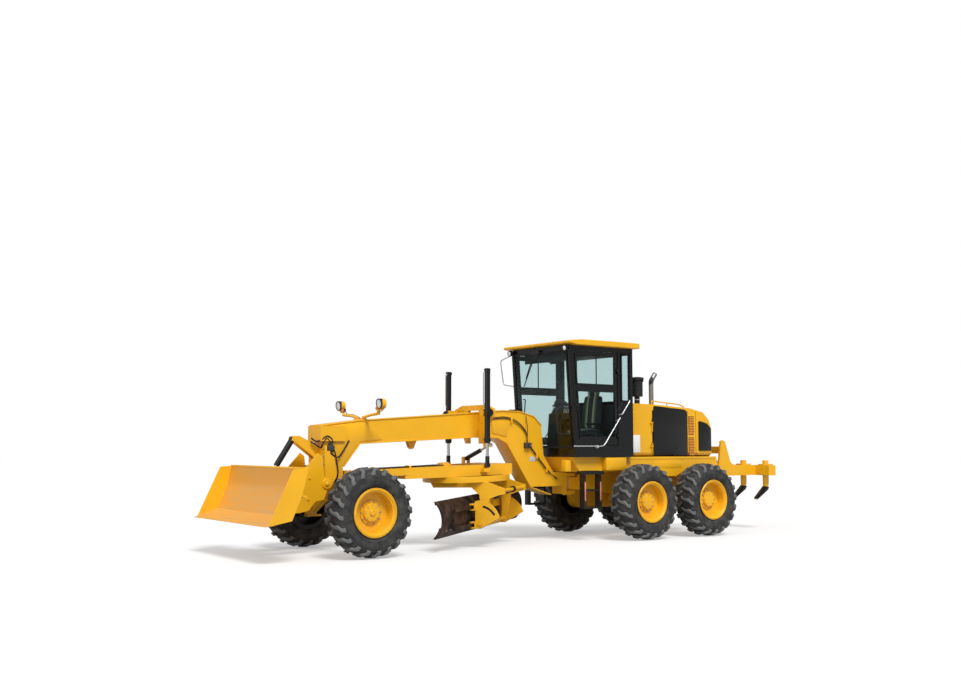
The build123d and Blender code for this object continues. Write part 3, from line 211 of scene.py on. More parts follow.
def painted(name, colour, dust=0.35, chips=0.3, gloss=0.3, coat=0.18):
    """Sprayed paint with orange peel, dust that settles low and on top, painted shade under faces that look
    down, and small chips.
    """
    paint = Paint(name)
    z = paint.place()[2]
    up = paint.facing()[2]
    broad = paint.noise(1.3, 4.0)
    fine = paint.noise(22.0, 5.0, 0.62)
    tone = paint.blend(broad.ramp(0.3, 0.7), [c * 0.9 for c in colour[:3]] + [1.0], colour)
    settled = (z.ramp(1.3, 0.1) * 0.7 + up.ramp(0.5, 1.0) * 0.35) * fine.ramp(0.35, 0.75) * dust
    dusty = paint.blend(settled, tone, srgb(150, 122, 88))
    # painted shade: faces that look down are darkened towards brown, scaled by the dust amount
    under = up.ramp(-0.3, -0.95)
    shaded = paint.blend(under * 0.45 * dust, dusty, srgb(84, 56, 26))
    chip = paint.noise(95.0, 2.0).over(0.745) * paint.noise(3.1, 2.0).ramp(0.5, 0.72) * chips
    final = paint.blend(chip, shaded, srgb(66, 50, 38))
    peel = paint.bump(paint.noise(420.0, 1.0), 0.0003, 0.12)
    return paint.finish(
        Base_Color=final, Roughness=gloss + fine * 0.14 + settled * 0.5, Normal=peel,
        Coat_Weight=coat, Coat_Roughness=0.12, Specular_IOR_Level=0.35)


def tyre_rubber(name, colour, dust):
    """Rubber with fine moulded grain and dried dust."""
    paint = Paint(name)
    grain = paint.noise(130.0, 3.0)
    cloud = paint.noise(7.0, 5.0, 0.65)
    tone = paint.blend(cloud.ramp(0.35, 0.8) * dust, colour, srgb(118, 114, 106))
    speck = paint.blend(grain.over(0.66) * 0.35, tone, srgb(96, 96, 92))
    return paint.finish(Base_Color=speck, Roughness=0.72 + cloud * 0.16,
                        Normal=paint.bump(grain, 0.0015, 0.35))


def bare_steel(name, colour, rust, rough=0.38, metallic=0.85, streak=(1, 1, 1)):
    """Worn steel, streaked along one way, with rust in patches."""
    paint = Paint(name)
    lines = paint.noise(60.0, 3.0, 0.6, streak)
    patch = paint.noise(5.5, 6.0, 0.68)
    stained = paint.blend(patch.ramp(0.42, 0.66) * rust, colour, srgb(92, 58, 38))
    dark = paint.blend(lines.ramp(0.55, 0.8) * 0.4, stained, srgb(34, 30, 28))
    return paint.finish(
        Base_Color=dark, Metallic=metallic - patch.ramp(0.42, 0.66) * rust * metallic,
        Roughness=rough + lines * 0.25 + patch * 0.1, Normal=paint.bump(lines + patch, 0.0012, 0.4))


def chrome(name):
    """Hard chrome with fine turning lines and a film of oil."""
    paint = Paint(name)
    film = paint.noise(14.0, 4.0)
    lines = paint.noise(420.0, 1.0, 0.5, (1, 1, 3))
    tone = paint.blend(film.ramp(0.45, 0.75) * 0.3, srgb(205, 207, 210), srgb(150, 146, 138))
    return paint.finish(Base_Color=tone, Metallic=1.0, Roughness=0.12 + film * 0.16,
                        Normal=paint.bump(lines, 0.0002, 0.2))


def plastic(name, colour, rough=0.55, grain=210.0):
    """Moulded plastic with a fine grain and pale scuffs."""
    paint = Paint(name)
    pores = paint.noise(grain, 2.0)
    scuff = paint.noise(9.0, 5.0, 0.7)
    pale = [min(1, c * 2 + 0.05) for c in colour[:3]] + [1]
    tone = paint.blend(scuff.ramp(0.55, 0.85) * 0.25, colour, pale)
    return paint.finish(Base_Color=tone, Roughness=rough + scuff * 0.15, IOR=1.46,
                        Normal=paint.bump(pores, 0.0006, 0.25))


def hose_rubber(name):
    """Braided hose: a fine crossed weave under black rubber."""
    paint = Paint(name)
    x, y, z = paint.place()
    weave = ((x + y + z) * 900.0).sine() * ((x - y + z) * 900.0).sine()
    cloud = paint.noise(16.0, 4.0)
    tone = paint.blend(cloud.ramp(0.4, 0.8) * 0.4, srgb(12, 12, 13), srgb(52, 48, 42))
    return paint.finish(Base_Color=tone, Roughness=0.6 + cloud * 0.2, Normal=paint.bump(weave, 0.0006, 0.4))


def window_glass(name, tint, mirror=0.004):
    """Tinted panes: light passes straight through, and the edges mirror."""
    paint = Paint(name)
    clear = paint.node("ShaderNodeBsdfTransparent", None, {"Color": tint})
    film = paint.noise(3.0, 4.0)
    gloss = paint.node("ShaderNodeBsdfGlossy", None, {"Color": (1, 1, 1, 1), "Roughness": 0.03})
    rim = Term(paint, paint.node("ShaderNodeLayerWeight", None, {"Blend": 0.25}).outputs["Fresnel"])
    mixed = paint.node("ShaderNodeMixShader", None, {0: rim * 0.04 + film * 0.004 + mirror,
                                                     1: clear.outputs[0], 2: gloss.outputs[0]})
    paint.tree.links.new(mixed.outputs[0], paint.output.inputs["Surface"])
    paint.tree.nodes.remove(paint.shader)
    return paint.material


def seat_cloth(name):
    """Woven cloth with a wide pale stripe, and a narrow green one beside it."""
    paint = Paint(name)
    x, y, z = paint.place()
    weave = (y * 2600.0).sine() * ((x + z) * 2600.0).sine()
    pale = (y.absolute() - 0.085).absolute().under(0.022)
    green = (y.absolute() - 0.13).absolute().under(0.012)
    base = paint.blend(paint.noise(30.0).ramp(0.3, 0.7), srgb(18, 20, 22), srgb(30, 33, 35))
    striped = paint.blend(pale, base, srgb(176, 172, 140))
    final = paint.blend(green, striped, srgb(96, 118, 62))
    return paint.finish(Base_Color=final, Roughness=0.9, Sheen_Weight=0.3,
                        Normal=paint.bump(weave, 0.0006, 0.5))


def lamp_glass(name, colour, ribs=170.0):
    """A lens with moulded ribs over a bright reflector."""
    paint = Paint(name)
    y, z = paint.place()[1:]
    ribbed = (y * ribs).sine() * 0.6 + (z * ribs).sine() * 0.4
    tone = paint.blend(paint.noise(20.0).ramp(0.3, 0.7), colour, [c * 0.8 for c in colour[:3]] + [1])
    return paint.finish(Base_Color=tone, Roughness=0.14 + paint.noise(8.0) * 0.08, Metallic=0.15,
                        Coat_Weight=1.0, Normal=paint.bump(ribbed, 0.002, 0.5))


def mirror_glass(name):
    """A silvered plane with a faint film."""
    paint = Paint(name)
    return paint.finish(Base_Color=srgb(214, 222, 226), Metallic=1.0,
                        Roughness=0.03 + paint.noise(5.0).ramp(0.5, 0.9) * 0.12)


def bucket_inside(name):
    """Paint that soil has rubbed pale and scratched, down to steel near the lip, with painted shade in a
    deeper orange on the back wall above the fold.
    """
    paint = Paint(name)
    z = paint.place()[2]
    rubs = paint.noise(9.0, 6.0, 0.65, (1.0, 0.12, 1.0))
    drags = paint.noise(80.0, 3.0, 0.6, (0.25, 3.0, 0.25))
    low = z.ramp(0.95, 0.55)
    worn = paint.blend(rubs.ramp(0.35, 0.7), srgb(214, 150, 58), srgb(205, 156, 86))
    # painted shade: above the fold the back wall turns a deeper orange
    tone = paint.blend(z.ramp(0.98, 1.1) * 0.75, worn, srgb(204, 140, 42))
    scratched = paint.blend(drags.ramp(0.6, 0.78) * (low * 0.6 + 0.15), tone, srgb(168, 128, 82))
    steel = paint.blend(low * rubs.ramp(0.5, 0.72) * 0.55, scratched, srgb(140, 118, 96))
    return paint.finish(Base_Color=steel, Roughness=0.42 + rubs * 0.2, Coat_Weight=0.1,
                        Normal=paint.bump(drags + rubs, 0.001, 0.3))


MATERIALS = {}
# the material slot that a finish usually stands for; yellow paint where none is listed
USUAL_SLOTS = {
    "trim": "console_plastic", "rubber": "console_plastic", "console": "console_plastic",
    "bolt": "rod_chrome", "silver": "rod_chrome", "iron": "engine_iron", "stack": "stack_steel",
    "cylinder": "cab_black", "cab_black": "cab_black", "panel_black": "cab_black", "frame_black": "cab_black",
    "hose": "tyre_rubber", "lug": "tyre_rubber", "carcass": "tyre_rubber",
    "lens": "window_glass", "red_lens": "window_glass", "amber": "window_glass",
    "edge": "worn_steel", "blade": "worn_steel",
}


def material(name):
    """Each finish is made once, when a piece first asks for it."""
    if name not in MATERIALS:
        tones = bpy.context.scene.grader_colours
        yellow = (*tones.yellow, 1.0)
        makers = {
            "yellow": lambda: painted("yellow_paint", yellow),
            "yellow_clean": lambda: painted("clean_yellow_paint", yellow, dust=0.12, chips=0.05),
            "orange_panel": lambda: painted("louvre_paint", srgb(226, 140, 32), dust=0.3),
            "cab_black": lambda: painted("cab_paint", srgb(5, 8, 10), dust=0.03, chips=0.0, gloss=0.2),
            "panel_black": lambda: painted("panel_paint", srgb(7, 8, 9), dust=0.04, chips=0.05),
            "frame_black": lambda: painted("frame_paint", srgb(12, 12, 13), dust=0.25, chips=0.2, gloss=0.4),
            "carcass": lambda: tyre_rubber("tyre_sidewall", (*tones.rubber, 1.0), 0.35),
            # lugs: a paler grey than the side walls, for dust on the tread and a painted highlight on the
            # lugs
            "lug": lambda: tyre_rubber("tyre_lug", srgb(92, 94, 95), 0.6),
            "chrome": lambda: chrome("rod_chrome"),
            "blade": lambda: bare_steel("blade_steel", srgb(44, 38, 36), 0.75, 0.45, 0.7, (1, 1, 6)),
            "edge": lambda: bare_steel("edge_steel", srgb(96, 92, 90), 0.35, 0.35, 0.9),
            "iron": lambda: bare_steel("cast_iron", srgb(72, 70, 68), 0.5, 0.6, 0.5),
            "bolt": lambda: bare_steel("zinc_bolt", srgb(170, 166, 158), 0.3, 0.35, 0.9),
            "stack": lambda: bare_steel("stack_steel", srgb(150, 150, 150), 0.08, 0.3, 0.9),
            "silver": lambda: bare_steel("rail_steel", srgb(214, 216, 218), 0.05, 0.25, 0.9),
            "cylinder": lambda: painted("cylinder_paint", srgb(9, 8, 9), dust=0.08, chips=0.1),
            "rubber": lambda: plastic("seal_rubber", srgb(9, 10, 11), 0.7, 120.0),
            "console": lambda: plastic("console_plastic", srgb(18, 20, 22)),
            "trim": lambda: plastic("trim_plastic", srgb(24, 26, 28), 0.5),
            "hose": lambda: hose_rubber("braided_hose"),
            "glass": lambda: window_glass("window_glass", (0.815, 0.885, 0.885, 1.0)),
            "cloth": lambda: seat_cloth("seat_cloth"),
            "lens": lambda: lamp_glass("lamp_lens", srgb(232, 236, 238)),
            "amber": lambda: lamp_glass("amber_lens", srgb(232, 128, 24)),
            "red_lens": lambda: lamp_glass("red_lens", srgb(176, 22, 20)),
            "pink": lambda: lamp_glass("copper_reflector", srgb(226, 142, 118), 700.0),
            "mirror": lambda: mirror_glass("mirror_glass"),
            "plate": lambda: painted("blank_plate", srgb(238, 238, 236), dust=0.05, chips=0.0),
            "silver_plate": lambda: painted("blank_metal_plate", srgb(188, 194, 198), dust=0.1, chips=0.0),
            "bucket_inside": lambda: bucket_inside("rubbed_and_shaded_paint"),
        }
        MATERIALS[name] = makers[name]()
    return MATERIALS[name]


# Shapes

BEVEL_ABOVE = math.radians(35)
CAD_CREASE = math.radians(30)
CAD_FLAT = math.radians(1.0)
CAD_MERGE = 2e-5


def once(items):
    """The items in their order, each of them once."""
    return list(dict.fromkeys(items))


def faces_at(verts):
    """The faces that meet at some corners."""
    return once(face for vert in verts for face in vert.link_faces)


def placed(name, data):
    """A new object in the scene."""
    made = bpy.data.objects.new(name, data)
    bpy.context.scene.collection.objects.link(made)
    return made


class Form:
    """A mesh in the making. Each call adds one shape, in metres, in the machine's frame."""

    def __init__(self, place=None):
        self.bm = bmesh.new()
        self.place_matrix = place or Matrix.Identity(4)

    def take(self, verts, matrix):
        bmesh.ops.transform(self.bm, matrix=self.place_matrix @ matrix, verts=verts)
        return verts

    def block(self, low, high, bevel=0.004, at=(0, 0, 0)):
        """A box with rounded edges, from one corner to the other, both counted from a place."""
        low, high = Vector(at) + Vector(low), Vector(at) + Vector(high)
        made = bmesh.ops.create_cube(self.bm, size=1.0)["verts"]
        size = Matrix.Diagonal((*(high - low), 1.0))
        self.take(made, Matrix.Translation((low + high) / 2) @ size)
        return self.round_off(made, bevel)

    def round_off(self, verts, bevel, segments=2):
        if not bevel:
            return verts
        edges = once(edge for face in faces_at(verts) for edge in face.edges
                     if len(edge.link_faces) == 2 and edge.calc_face_angle(0) > BEVEL_ABOVE)
        made = bmesh.ops.bevel(self.bm, geom=edges, offset=bevel, offset_type="OFFSET",
                               segments=segments, profile=0.5, affect="EDGES", clamp_overlap=True,
                               material=-1)
        return made["verts"]

    def bar(self, start, end, radius, sides=24, bevel=0.0, at=(0, 0, 0)):
        """A round or many-sided bar between two points, both counted from a place."""
        start, end = Vector(at) + Vector(start), Vector(at) + Vector(end)
        run = end - start
        made = bmesh.ops.create_cone(
            self.bm, cap_ends=True, segments=sides, radius1=radius, radius2=radius,
            depth=run.length)["verts"]
        turn = run.to_track_quat("Z", "Y").to_matrix().to_4x4()
        self.take(made, Matrix.Translation((start + end) / 2) @ turn)
        return self.round_off(made, bevel)

    def ball(self, centre, radius, squeeze=(1, 1, 1), sides=24):
        made = bmesh.ops.create_uvsphere(self.bm, u_segments=sides, v_segments=sides // 2,
                                         radius=radius)["verts"]
        return self.take(made, Matrix.Translation(centre) @ Matrix.Diagonal((*squeeze, 1.0)))

    def lathe(self, outline, centre, axis, sides=64):
        """An outline of (radius, distance along the axis) spun round the axis."""
        verts = [self.bm.verts.new((radius, 0, along)) for radius, along in outline]
        edges = [self.bm.edges.new(pair) for pair in zip(verts, verts[1:])]
        spun = bmesh.ops.spin(self.bm, geom=verts + edges, cent=(0, 0, 0), axis=(0, 0, 1),
                              angle=math.tau, steps=sides, use_merge=True)
        made = [v for e in edges if e.is_valid for v in e.verts]
        made += [g for g in spun["geom_last"] if isinstance(g, bmesh.types.BMVert)]
        grown = self.connected(made)
        bmesh.ops.remove_doubles(self.bm, verts=grown, dist=1e-6)
        grown = self.connected([v for v in grown if v.is_valid])
        bmesh.ops.recalc_face_normals(self.bm, faces=faces_at(grown))
        turn = Vector(axis).to_track_quat("Z", "Y").to_matrix().to_4x4()
        return self.take(grown, Matrix.Translation(centre) @ turn)

    @staticmethod
    def connected(verts):
        """All that hangs together with some corners."""
        found, waiting = {}, list(verts)
        while waiting:
            vert = waiting.pop()
            if vert in found:
                continue
            found[vert] = True
            waiting += [edge.other_vert(vert) for edge in vert.link_edges]
        return list(found)

    def plate(self, outline, plane, thickness, bevel=0.004):
        """A flat plate: its outline lies in the plane's x and y, half of it to each side."""
        base = [self.bm.verts.new((x, y, -thickness / 2)) for x, y in outline]
        face = self.bm.faces.new(base)
        grown = bmesh.ops.extrude_face_region(self.bm, geom=[face])["geom"]
        top = [g for g in grown if isinstance(g, bmesh.types.BMVert)]
        bmesh.ops.translate(self.bm, vec=(0, 0, thickness), verts=top)
        made = base + top
        bmesh.ops.recalc_face_normals(self.bm, faces=faces_at(made))
        self.take(made, plane)
        return self.round_off(made, bevel)

    def tube(self, points, radius, bend=0.05, sides=12):
        """A pipe or hose along straight runs with rounded corners."""
        line = rounded(points, bend)
        rings = []
        side = None
        for index, point in enumerate(line):
            ahead = line[min(index + 1, len(line) - 1)] - line[max(index - 1, 0)]
            ahead.normalize()
            if side is None:
                side = ahead.orthogonal().normalized()
            side = (side - ahead * side.dot(ahead)).normalized()
            matrix = Matrix((side, ahead.cross(side), ahead)).transposed().to_4x4()
            ring = bmesh.ops.create_circle(self.bm, segments=sides, radius=radius,
                                           cap_ends=index in (0, len(line) - 1))["verts"]
            self.take(ring, Matrix.Translation(point) @ matrix)
            rings.append(ring)
        for first, second in zip(rings, rings[1:]):
            edges = once(e for ring in (first, second) for v in ring for e in v.link_edges
                         if all(v in ring for v in e.verts))
            bmesh.ops.bridge_loops(self.bm, edges=edges)
        made = [v for ring in rings for v in ring]
        bmesh.ops.recalc_face_normals(self.bm, faces=faces_at(made))
        return made

    def bolt(self, centre, axis, size=0.012, washer=True):
        """A hexagon head on its washer."""
        centre, axis = Vector(centre), Vector(axis).normalized()
        if washer:
            self.bar(centre - axis * 0.001, centre + axis * size * 0.25, size * 1.35, sides=16)
        self.bar(centre, centre + axis * size * 0.95, size, sides=6, bevel=size * 0.12)

    def again(self, centre, axis, count, verts=None):
        """Copies of a shape, or of the whole form, all round an axis, count in all."""
        verts = verts or list(self.bm.verts)
        geom = faces_at(verts) + once(e for v in verts for e in v.link_edges) + list(verts)
        bmesh.ops.spin(self.bm, geom=geom, cent=self.place_matrix @ Vector(centre),
                       axis=self.place_matrix.to_3x3() @ Vector(axis), angle=math.tau / count * (count - 1),
                       steps=count - 1, use_duplicate=True)

    def join(self, other):
        """Takes in the shapes of another form."""
        mesh = bpy.data.meshes.new("joined")
        other.bm.to_mesh(mesh)
        other.bm.free()
        self.bm.from_mesh(mesh)
        bpy.data.meshes.remove(mesh)

    def make(self, name, body, finish, slot=None, smooth=38):
        """The finished piece, riding on its body. Edges sharper than smooth, in degrees, stay sharp."""
        slot = slot or USUAL_SLOTS.get(finish, "yellow_paint")
        shade(self.bm, math.radians(smooth))
        mesh = bpy.data.meshes.new(name)
        self.bm.to_mesh(mesh)
        self.bm.free()
        piece = placed(name, mesh)
        mesh.materials.append(material(finish))
        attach(piece, body)
        return piece


def shade(bm, sharp):
    """Smooth faces that meet in a hard line where they turn by more than an angle."""
    for face in bm.faces:
        face.smooth = True
    for edge in bm.edges:
        edge.smooth = len(edge.link_faces) == 2 and edge.calc_face_angle(0) < sharp


def at_y(y, route):
    """A route of x and z, at one y."""
    return [(x, y, z) for x, z in route]


def rounded(points, bend):
    """The points of a route, with each corner turned into an arc."""
    points = [Vector(p) for p in points]
    if bend <= 0 or len(points) < 3:
        return points
    line = [points[0]]
    for before, corner, after in zip(points, points[1:], points[2:]):
        back, ahead = before - corner, after - corner
        reach = min(bend, back.length * 0.45, ahead.length * 0.45)
        start, end = corner + back.normalized() * reach, corner + ahead.normalized() * reach
        for step in range(6):
            t = step / 5
            line.append(start * (1 - t) ** 2 + corner * 2 * t * (1 - t) + end * t ** 2)
    line.append(points[-1])
    return line


def upright(x=None, y=None):
    """A plane square to x or y. Its x and y are the other two, in the order that reads upright."""
    if y is not None:
        return Matrix(((1, 0, 0, 0), (0, 0, -1, y), (0, 1, 0, 0), (0, 0, 0, 1)))
    return Matrix(((0, 0, 1, x), (1, 0, 0, 0), (0, 1, 0, 0), (0, 0, 0, 1)))


def dress(node, finish, edge=0.005, paint_faces=None):
    """A merged copy of a CAD node, with rounded edges, stands for it."""
    source = frame["nodes"][node]
    bm = bmesh.new()
    bm.from_mesh(source.data)
    bmesh.ops.remove_doubles(bm, verts=bm.verts, dist=CAD_MERGE)
    bmesh.ops.dissolve_limit(bm, angle_limit=CAD_FLAT, verts=bm.verts, edges=bm.edges)
    shade(bm, CAD_CREASE)
    mesh = bpy.data.meshes.new(f"{node}_dressed")
    mesh.materials.append(material(finish))
    if paint_faces:
        second, chosen = paint_faces
        mesh.materials.append(material(second))
        for face in bm.faces:
            if chosen(face):
                face.material_index = 1
    bm.to_mesh(mesh)
    bm.free()
    piece = placed(f"{node}_dressed", mesh)
    bevel = piece.modifiers.new("edges", "BEVEL")
    bevel.width = edge
    bevel.segments = 2
    bevel.limit_method = "ANGLE"
    bevel.angle_limit = CAD_CREASE
    bevel.harden_normals = True
    bevel.use_clamp_overlap = True
    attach(piece, source["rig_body"])
    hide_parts(node)
    return piece


# Frames of the blade group, from the joints

BALL = joint_at("drawbar_pitch")
CIRCLE_CENTRE = joint_at("circle_turn")
CIRCLE_UP = joint_axis("circle_turn").normalized()
BLADE_V = joint_axis("blade_tip").normalized()
BLADE_U = BLADE_V.cross(CIRCLE_UP).normalized()
SWING = Matrix.Translation(CIRCLE_CENTRE) @ Matrix((BLADE_U, BLADE_V, CIRCLE_UP)).transposed().to_4x4()
DRAFT_X = Vector((0, 1, 0)).cross(CIRCLE_UP).normalized()
DRAFT = Matrix.Translation(BALL) @ Matrix((DRAFT_X, Vector((0, 1, 0)), CIRCLE_UP)).transposed().to_4x4()


# Wheels

LUG_HEIGHT = 0.037
# columns: distance from the tyre's centre plane, radius
TYRE_HALF = (
    (0.0, 0.628), (0.06, 0.627), (0.115, 0.623), (0.155, 0.615), (0.183, 0.6), (0.203, 0.575),
    (0.215, 0.545), (0.2205, 0.505), (0.219, 0.465), (0.212, 0.425), (0.2, 0.395), (0.186, 0.378),
)
LUG_PATH = TYRE_HALF[:7]
# columns: radius, distance from the tyre's centre plane
WALL_RINGS = ((0.425, 0.2125), (0.52, 0.2215), (0.556, 0.2125))
RING_OUTLINE = ((-0.006, -0.002), (-0.002, 0.003), (0.002, 0.003), (0.006, -0.002))
# a lug loses this share of its height at the tyre's shoulder, and its foot sinks into the carcass
LUG_FADE, LUG_SINK = 0.55, 0.004
# shares of the pitch: how far a lug sweeps back and waves, its width, its growth outwards and its draft
LUG_SWEEP, LUG_WAVE, LUG_WIDTH, LUG_SPREAD, LUG_DRAFT = 0.62, 0.07, 0.21, 0.2, 0.05
HUB, HUB_REACH = 0.15, 0.105
# columns: radius, distance from the wheel's centre plane
RIM_OUTLINE = (
    (0.0, 0.04), (0.13, 0.04), (0.145, 0.045), (0.3, 0.04), (0.302, 0.055), (0.302, 0.18),
    (0.312, 0.186), (0.33, 0.188), (0.352, 0.19), (0.362, 0.196), (0.362, 0.204), (0.354, 0.206),
    (0.35, 0.198), (0.322, 0.196), (0.318, 0.19),
)


def on_path(path, share):
    """A point and its outward way on a list of points, at a share of its count."""
    place = share * (len(path) - 1)
    index = min(int(place), len(path) - 2)
    first, second = Vector(path[index]), Vector(path[index + 1])
    point = first.lerp(second, place - index)
    run = second - first
    return point, Vector((-run.y, run.x)).normalized()


def tyre(axle, side, sign):
    """Carcass with rings on its walls, and two rows of curved lugs."""
    options = bpy.context.scene.grader_sizes
    body = f"{axle}_wheel_{side}"
    centre = joint_at(body)
    outline = [(r, -y) for y, r in reversed(TYRE_HALF)] + [(r, y) for y, r in TYRE_HALF[1:]]
    inner = [(0.372, 0.18), (0.33, 0.176), (0.33, -0.176), (0.372, -0.18), outline[0]]
    carcass = Form()
    carcass.lathe(outline + inner, centre, (0, sign, 0), sides=96)
    for radius, out in WALL_RINGS:
        for wall in (1, -1):
            ring = [(radius + grow, wall * (out + rise)) for grow, rise in RING_OUTLINE]
            carcass.lathe(ring, centre, (0, sign, 0), sides=96)
    piece = carcass.make(f"{axle}_tyre_{side}_carcass", body, "carcass")
    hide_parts(f"{axle}_tyre_{side}")
    lugs = Form()
    count = options.lug_count
    pitch = math.tau / count
    for half in (1, -1):
        one = Form()
        bmesh.ops.create_cube(one.bm, size=1.0)
        across = [e for e in one.bm.edges if abs(e.verts[0].co.y - e.verts[1].co.y) > 0.5]
        bmesh.ops.subdivide_edges(one.bm, edges=across, cuts=9)
        for vert in one.bm.verts:
            share, up = vert.co.y + 0.5, vert.co.z + 0.5
            point, outward = on_path(LUG_PATH, share)
            point = point + outward * (
                up * LUG_HEIGHT * (1.0 - LUG_FADE * max(0.0, share - 0.7) / 0.3) - LUG_SINK)
            sweep = LUG_SWEEP * share ** 0.8 + LUG_WAVE * math.sin(share * 9.5)
            width = LUG_WIDTH + LUG_SPREAD * share - LUG_DRAFT * up
            angle = (sweep + vert.co.x * width + (0.5 if half < 0 else 0.0) - 0.3) * pitch
            vert.co = centre + Vector((point.y * math.sin(angle), half * point.x, point.y * math.cos(angle)))
        one.round_off(list(one.bm.verts), 0.004, 1)
        bmesh.ops.recalc_face_normals(one.bm, faces=one.bm.faces)
        one.again(centre, (0, 1, 0), count)
        lugs.join(one)
    lugs.make(f"{axle}_tyre_{side}_lugs", body, "lug", smooth=50)


def rim(axle, side, sign):
    """Dish with its hub, the barrel behind it drawn black as painted shade, ring of bolts and valve."""
    body = f"{axle}_wheel_{side}"
    centre = joint_at(body)
    axis = Vector((0, sign, 0))
    front = axle == "front"
    dish = Form()
    dish.lathe(list(RIM_OUTLINE) + [(0.316, 0.02), (0.0, 0.02)], centre, axis, sides=72)
    dish.lathe([(0.326, 0.199), (0.332, 0.205), (0.342, 0.206), (0.348, 0.2)], centre, axis, sides=72)
    inboard = -0.13 if front else -0.24
    # painted shade: the rim's barrel and its inboard side are drawn in black paint
    barrel = Form()
    barrel.lathe([(0.316, 0.021), (0.316, -0.17), (0.362, -0.19), (0.362, -0.204), (0.3, -0.2),
                  (0.296, 0.006), (HUB + 0.03, 0.006), (HUB + 0.03, inboard), (0.0, inboard), (0.0, 0.019),
                  (0.3, 0.019), (0.3, 0.021)], centre, axis, sides=72)
    barrel.make(f"{axle}_rim_{side}_barrel", body, "cylinder")
    dish.lathe([(0.0, 0.022), (HUB + 0.03, 0.022), (HUB + 0.03, 0.05), (HUB + 0.026, 0.062),
                (HUB - 0.004, 0.064), (HUB - 0.01, HUB_REACH - 0.02), (HUB - 0.024, HUB_REACH - 0.004),
                (HUB - 0.06, HUB_REACH), (0.0, HUB_REACH + 0.004)], centre, axis, sides=48)
    if front:
        dish.lathe([(0.045, HUB_REACH), (0.045, HUB_REACH + 0.016), (0.038, HUB_REACH + 0.022),
                    (0.0, HUB_REACH + 0.022)], centre, axis, sides=32)
    piece = dish.make(f"{axle}_rim_{side}_dish", body, "yellow_clean")
    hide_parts(f"{axle}_rim_{side}")
    bolts = Form()
    bolts.bolt(centre + Vector((HUB + 0.013, 0, 0)) + axis * 0.06, axis, 0.0115)
    bolts.again(centre, (0, 1, 0), 10 if front else 12)
    bolts.make(f"{axle}_rim_{side}_bolts", body, "bolt")
    small = Form()
    small.bolt(centre + Vector((HUB - 0.04, 0, 0)) + axis * (HUB_REACH - 0.001), axis, 0.007, False)
    small.again(centre, (0, 1, 0), 8)
    small.tube([centre + Vector((x, 0, z)) + axis * out
                for x, z, out in ((0.292, 0.02, 0.045), (0.275, 0.05, 0.07), (0.265, 0.065, 0.115))],
               0.006, 0.02, 8)
    small.make(f"{axle}_rim_{side}_valve", body, "bolt")


class GRADER_OT_wheels(bpy.types.Operator):
    """Tyres with chevron lugs, and dished rims with their hubs and bolts"""
    bl_idname = "grader.wheels"
    bl_label = "Wheels"

    def execute(self, context):
        for axle in AXLES:
            for side, sign in SIDES:
                tyre(axle, side, sign)
                rim(axle, side, sign)
        return {"FINISHED"}


# Frames and plates

PLATE_NODES = (
    "front_frame", "rear_frame", "lift_yoke", "drawbar", "circle", "blade_carrier", "front_axle_beam",
    "lean_bracket_left", "lean_bracket_right", "steering_knuckle_left", "steering_knuckle_right",
    "tandem_case_left", "tandem_case_right", "bucket_bracket",
)
BARRELS = ("lift_barrel_left", "lift_barrel_right", "tip_barrel", "shift_barrel", "bucket_barrel",
           "ripper_barrel")
RODS = ("lift_rod_left", "lift_rod_right", "tip_rod", "shift_rod", "bucket_rod", "ripper_rod")
BEAM_HALF = 0.16
# columns: x, z of the beam's profile
BEAM_TOP = ((4.3, 1.941), (3.58, 2.03), (1.23, 2.2), (0.8, 2.24), (0.42, 2.23), (0.11, 2.15),
            (-0.06, 1.99))
BEAM_FOOT = ((-0.28, 0.797), (0.17, 0.93), (0.33, 1.15), (0.7, 1.7), (0.9, 1.79), (1.27, 1.8),
             (3.6, 1.683), (3.885, 1.325))
COVER_T = 0.016
# columns: height of the hinge's outer faces, way they look
HINGE_FACES = ((1.16, 1), (0.79, -1))


def ribbon(points, thickness):
    """The outline of a strip along points. A positive thickness grows to the strip's left."""
    points = [Vector(p) for p in points]
    grown = []
    for index, point in enumerate(points):
        before, after = points[max(index - 1, 0)], points[min(index + 1, len(points) - 1)]
        first = (point - before).normalized() if index else (after - point).normalized()
        last = (after - point).normalized() if index < len(points) - 1 else first
        way = (first + last).normalized()
        left = Vector((-way.y, way.x))
        grown.append(point + left * thickness / max(0.3, left.dot(Vector((-first.y, first.x)))))
    return [tuple(p) for p in points + grown[::-1]]


def beam_covers():
    """Cover plates that stand proud of the beam's sides, gussets at both its ends, and a lug under it."""
    covers = Form()
    for line in (BEAM_TOP, BEAM_FOOT):
        covers.plate(ribbon(line[::-1], COVER_T), upright(y=0), 2 * BEAM_HALF + 0.03, 0.003)
    for sign in (1, -1):
        side = sign * (BEAM_HALF + 0.006)
        covers.plate(((4.2, 1.13), (3.91, 1.13), (3.91, 1.33), (3.6, 1.7), (3.2, 1.74), (3.42, 1.99),
                      (3.6, 2.01), (4.1, 1.95), (4.2, 1.7)), upright(y=side), 0.012, 0.003)
        covers.plate(((1.02, 1.86), (0.72, 1.8), (0.6, 2.14), (0.8, 2.19), (1.05, 2.16)),
                     upright(y=side), 0.012, 0.003)
    covers.make("beam_cover_plates", "front_half", "yellow")
    lug = Form()
    for y in (-0.032, 0.032):
        lug.plate(((2.46, 1.735), (2.64, 1.728), (2.6, 1.62), (2.56, 1.585), (2.52, 1.6)),
                  upright(y=y), 0.018, 0.003)
    lug.bar((2.555, -0.055, 1.635), (2.555, 0.055, 1.635), 0.02, bevel=0.003)
    lug.block((2.44, -0.05, 1.722), (2.66, 0.05, 1.738), 0.002)
    lug.make("beam_lug", "front_half", "yellow")


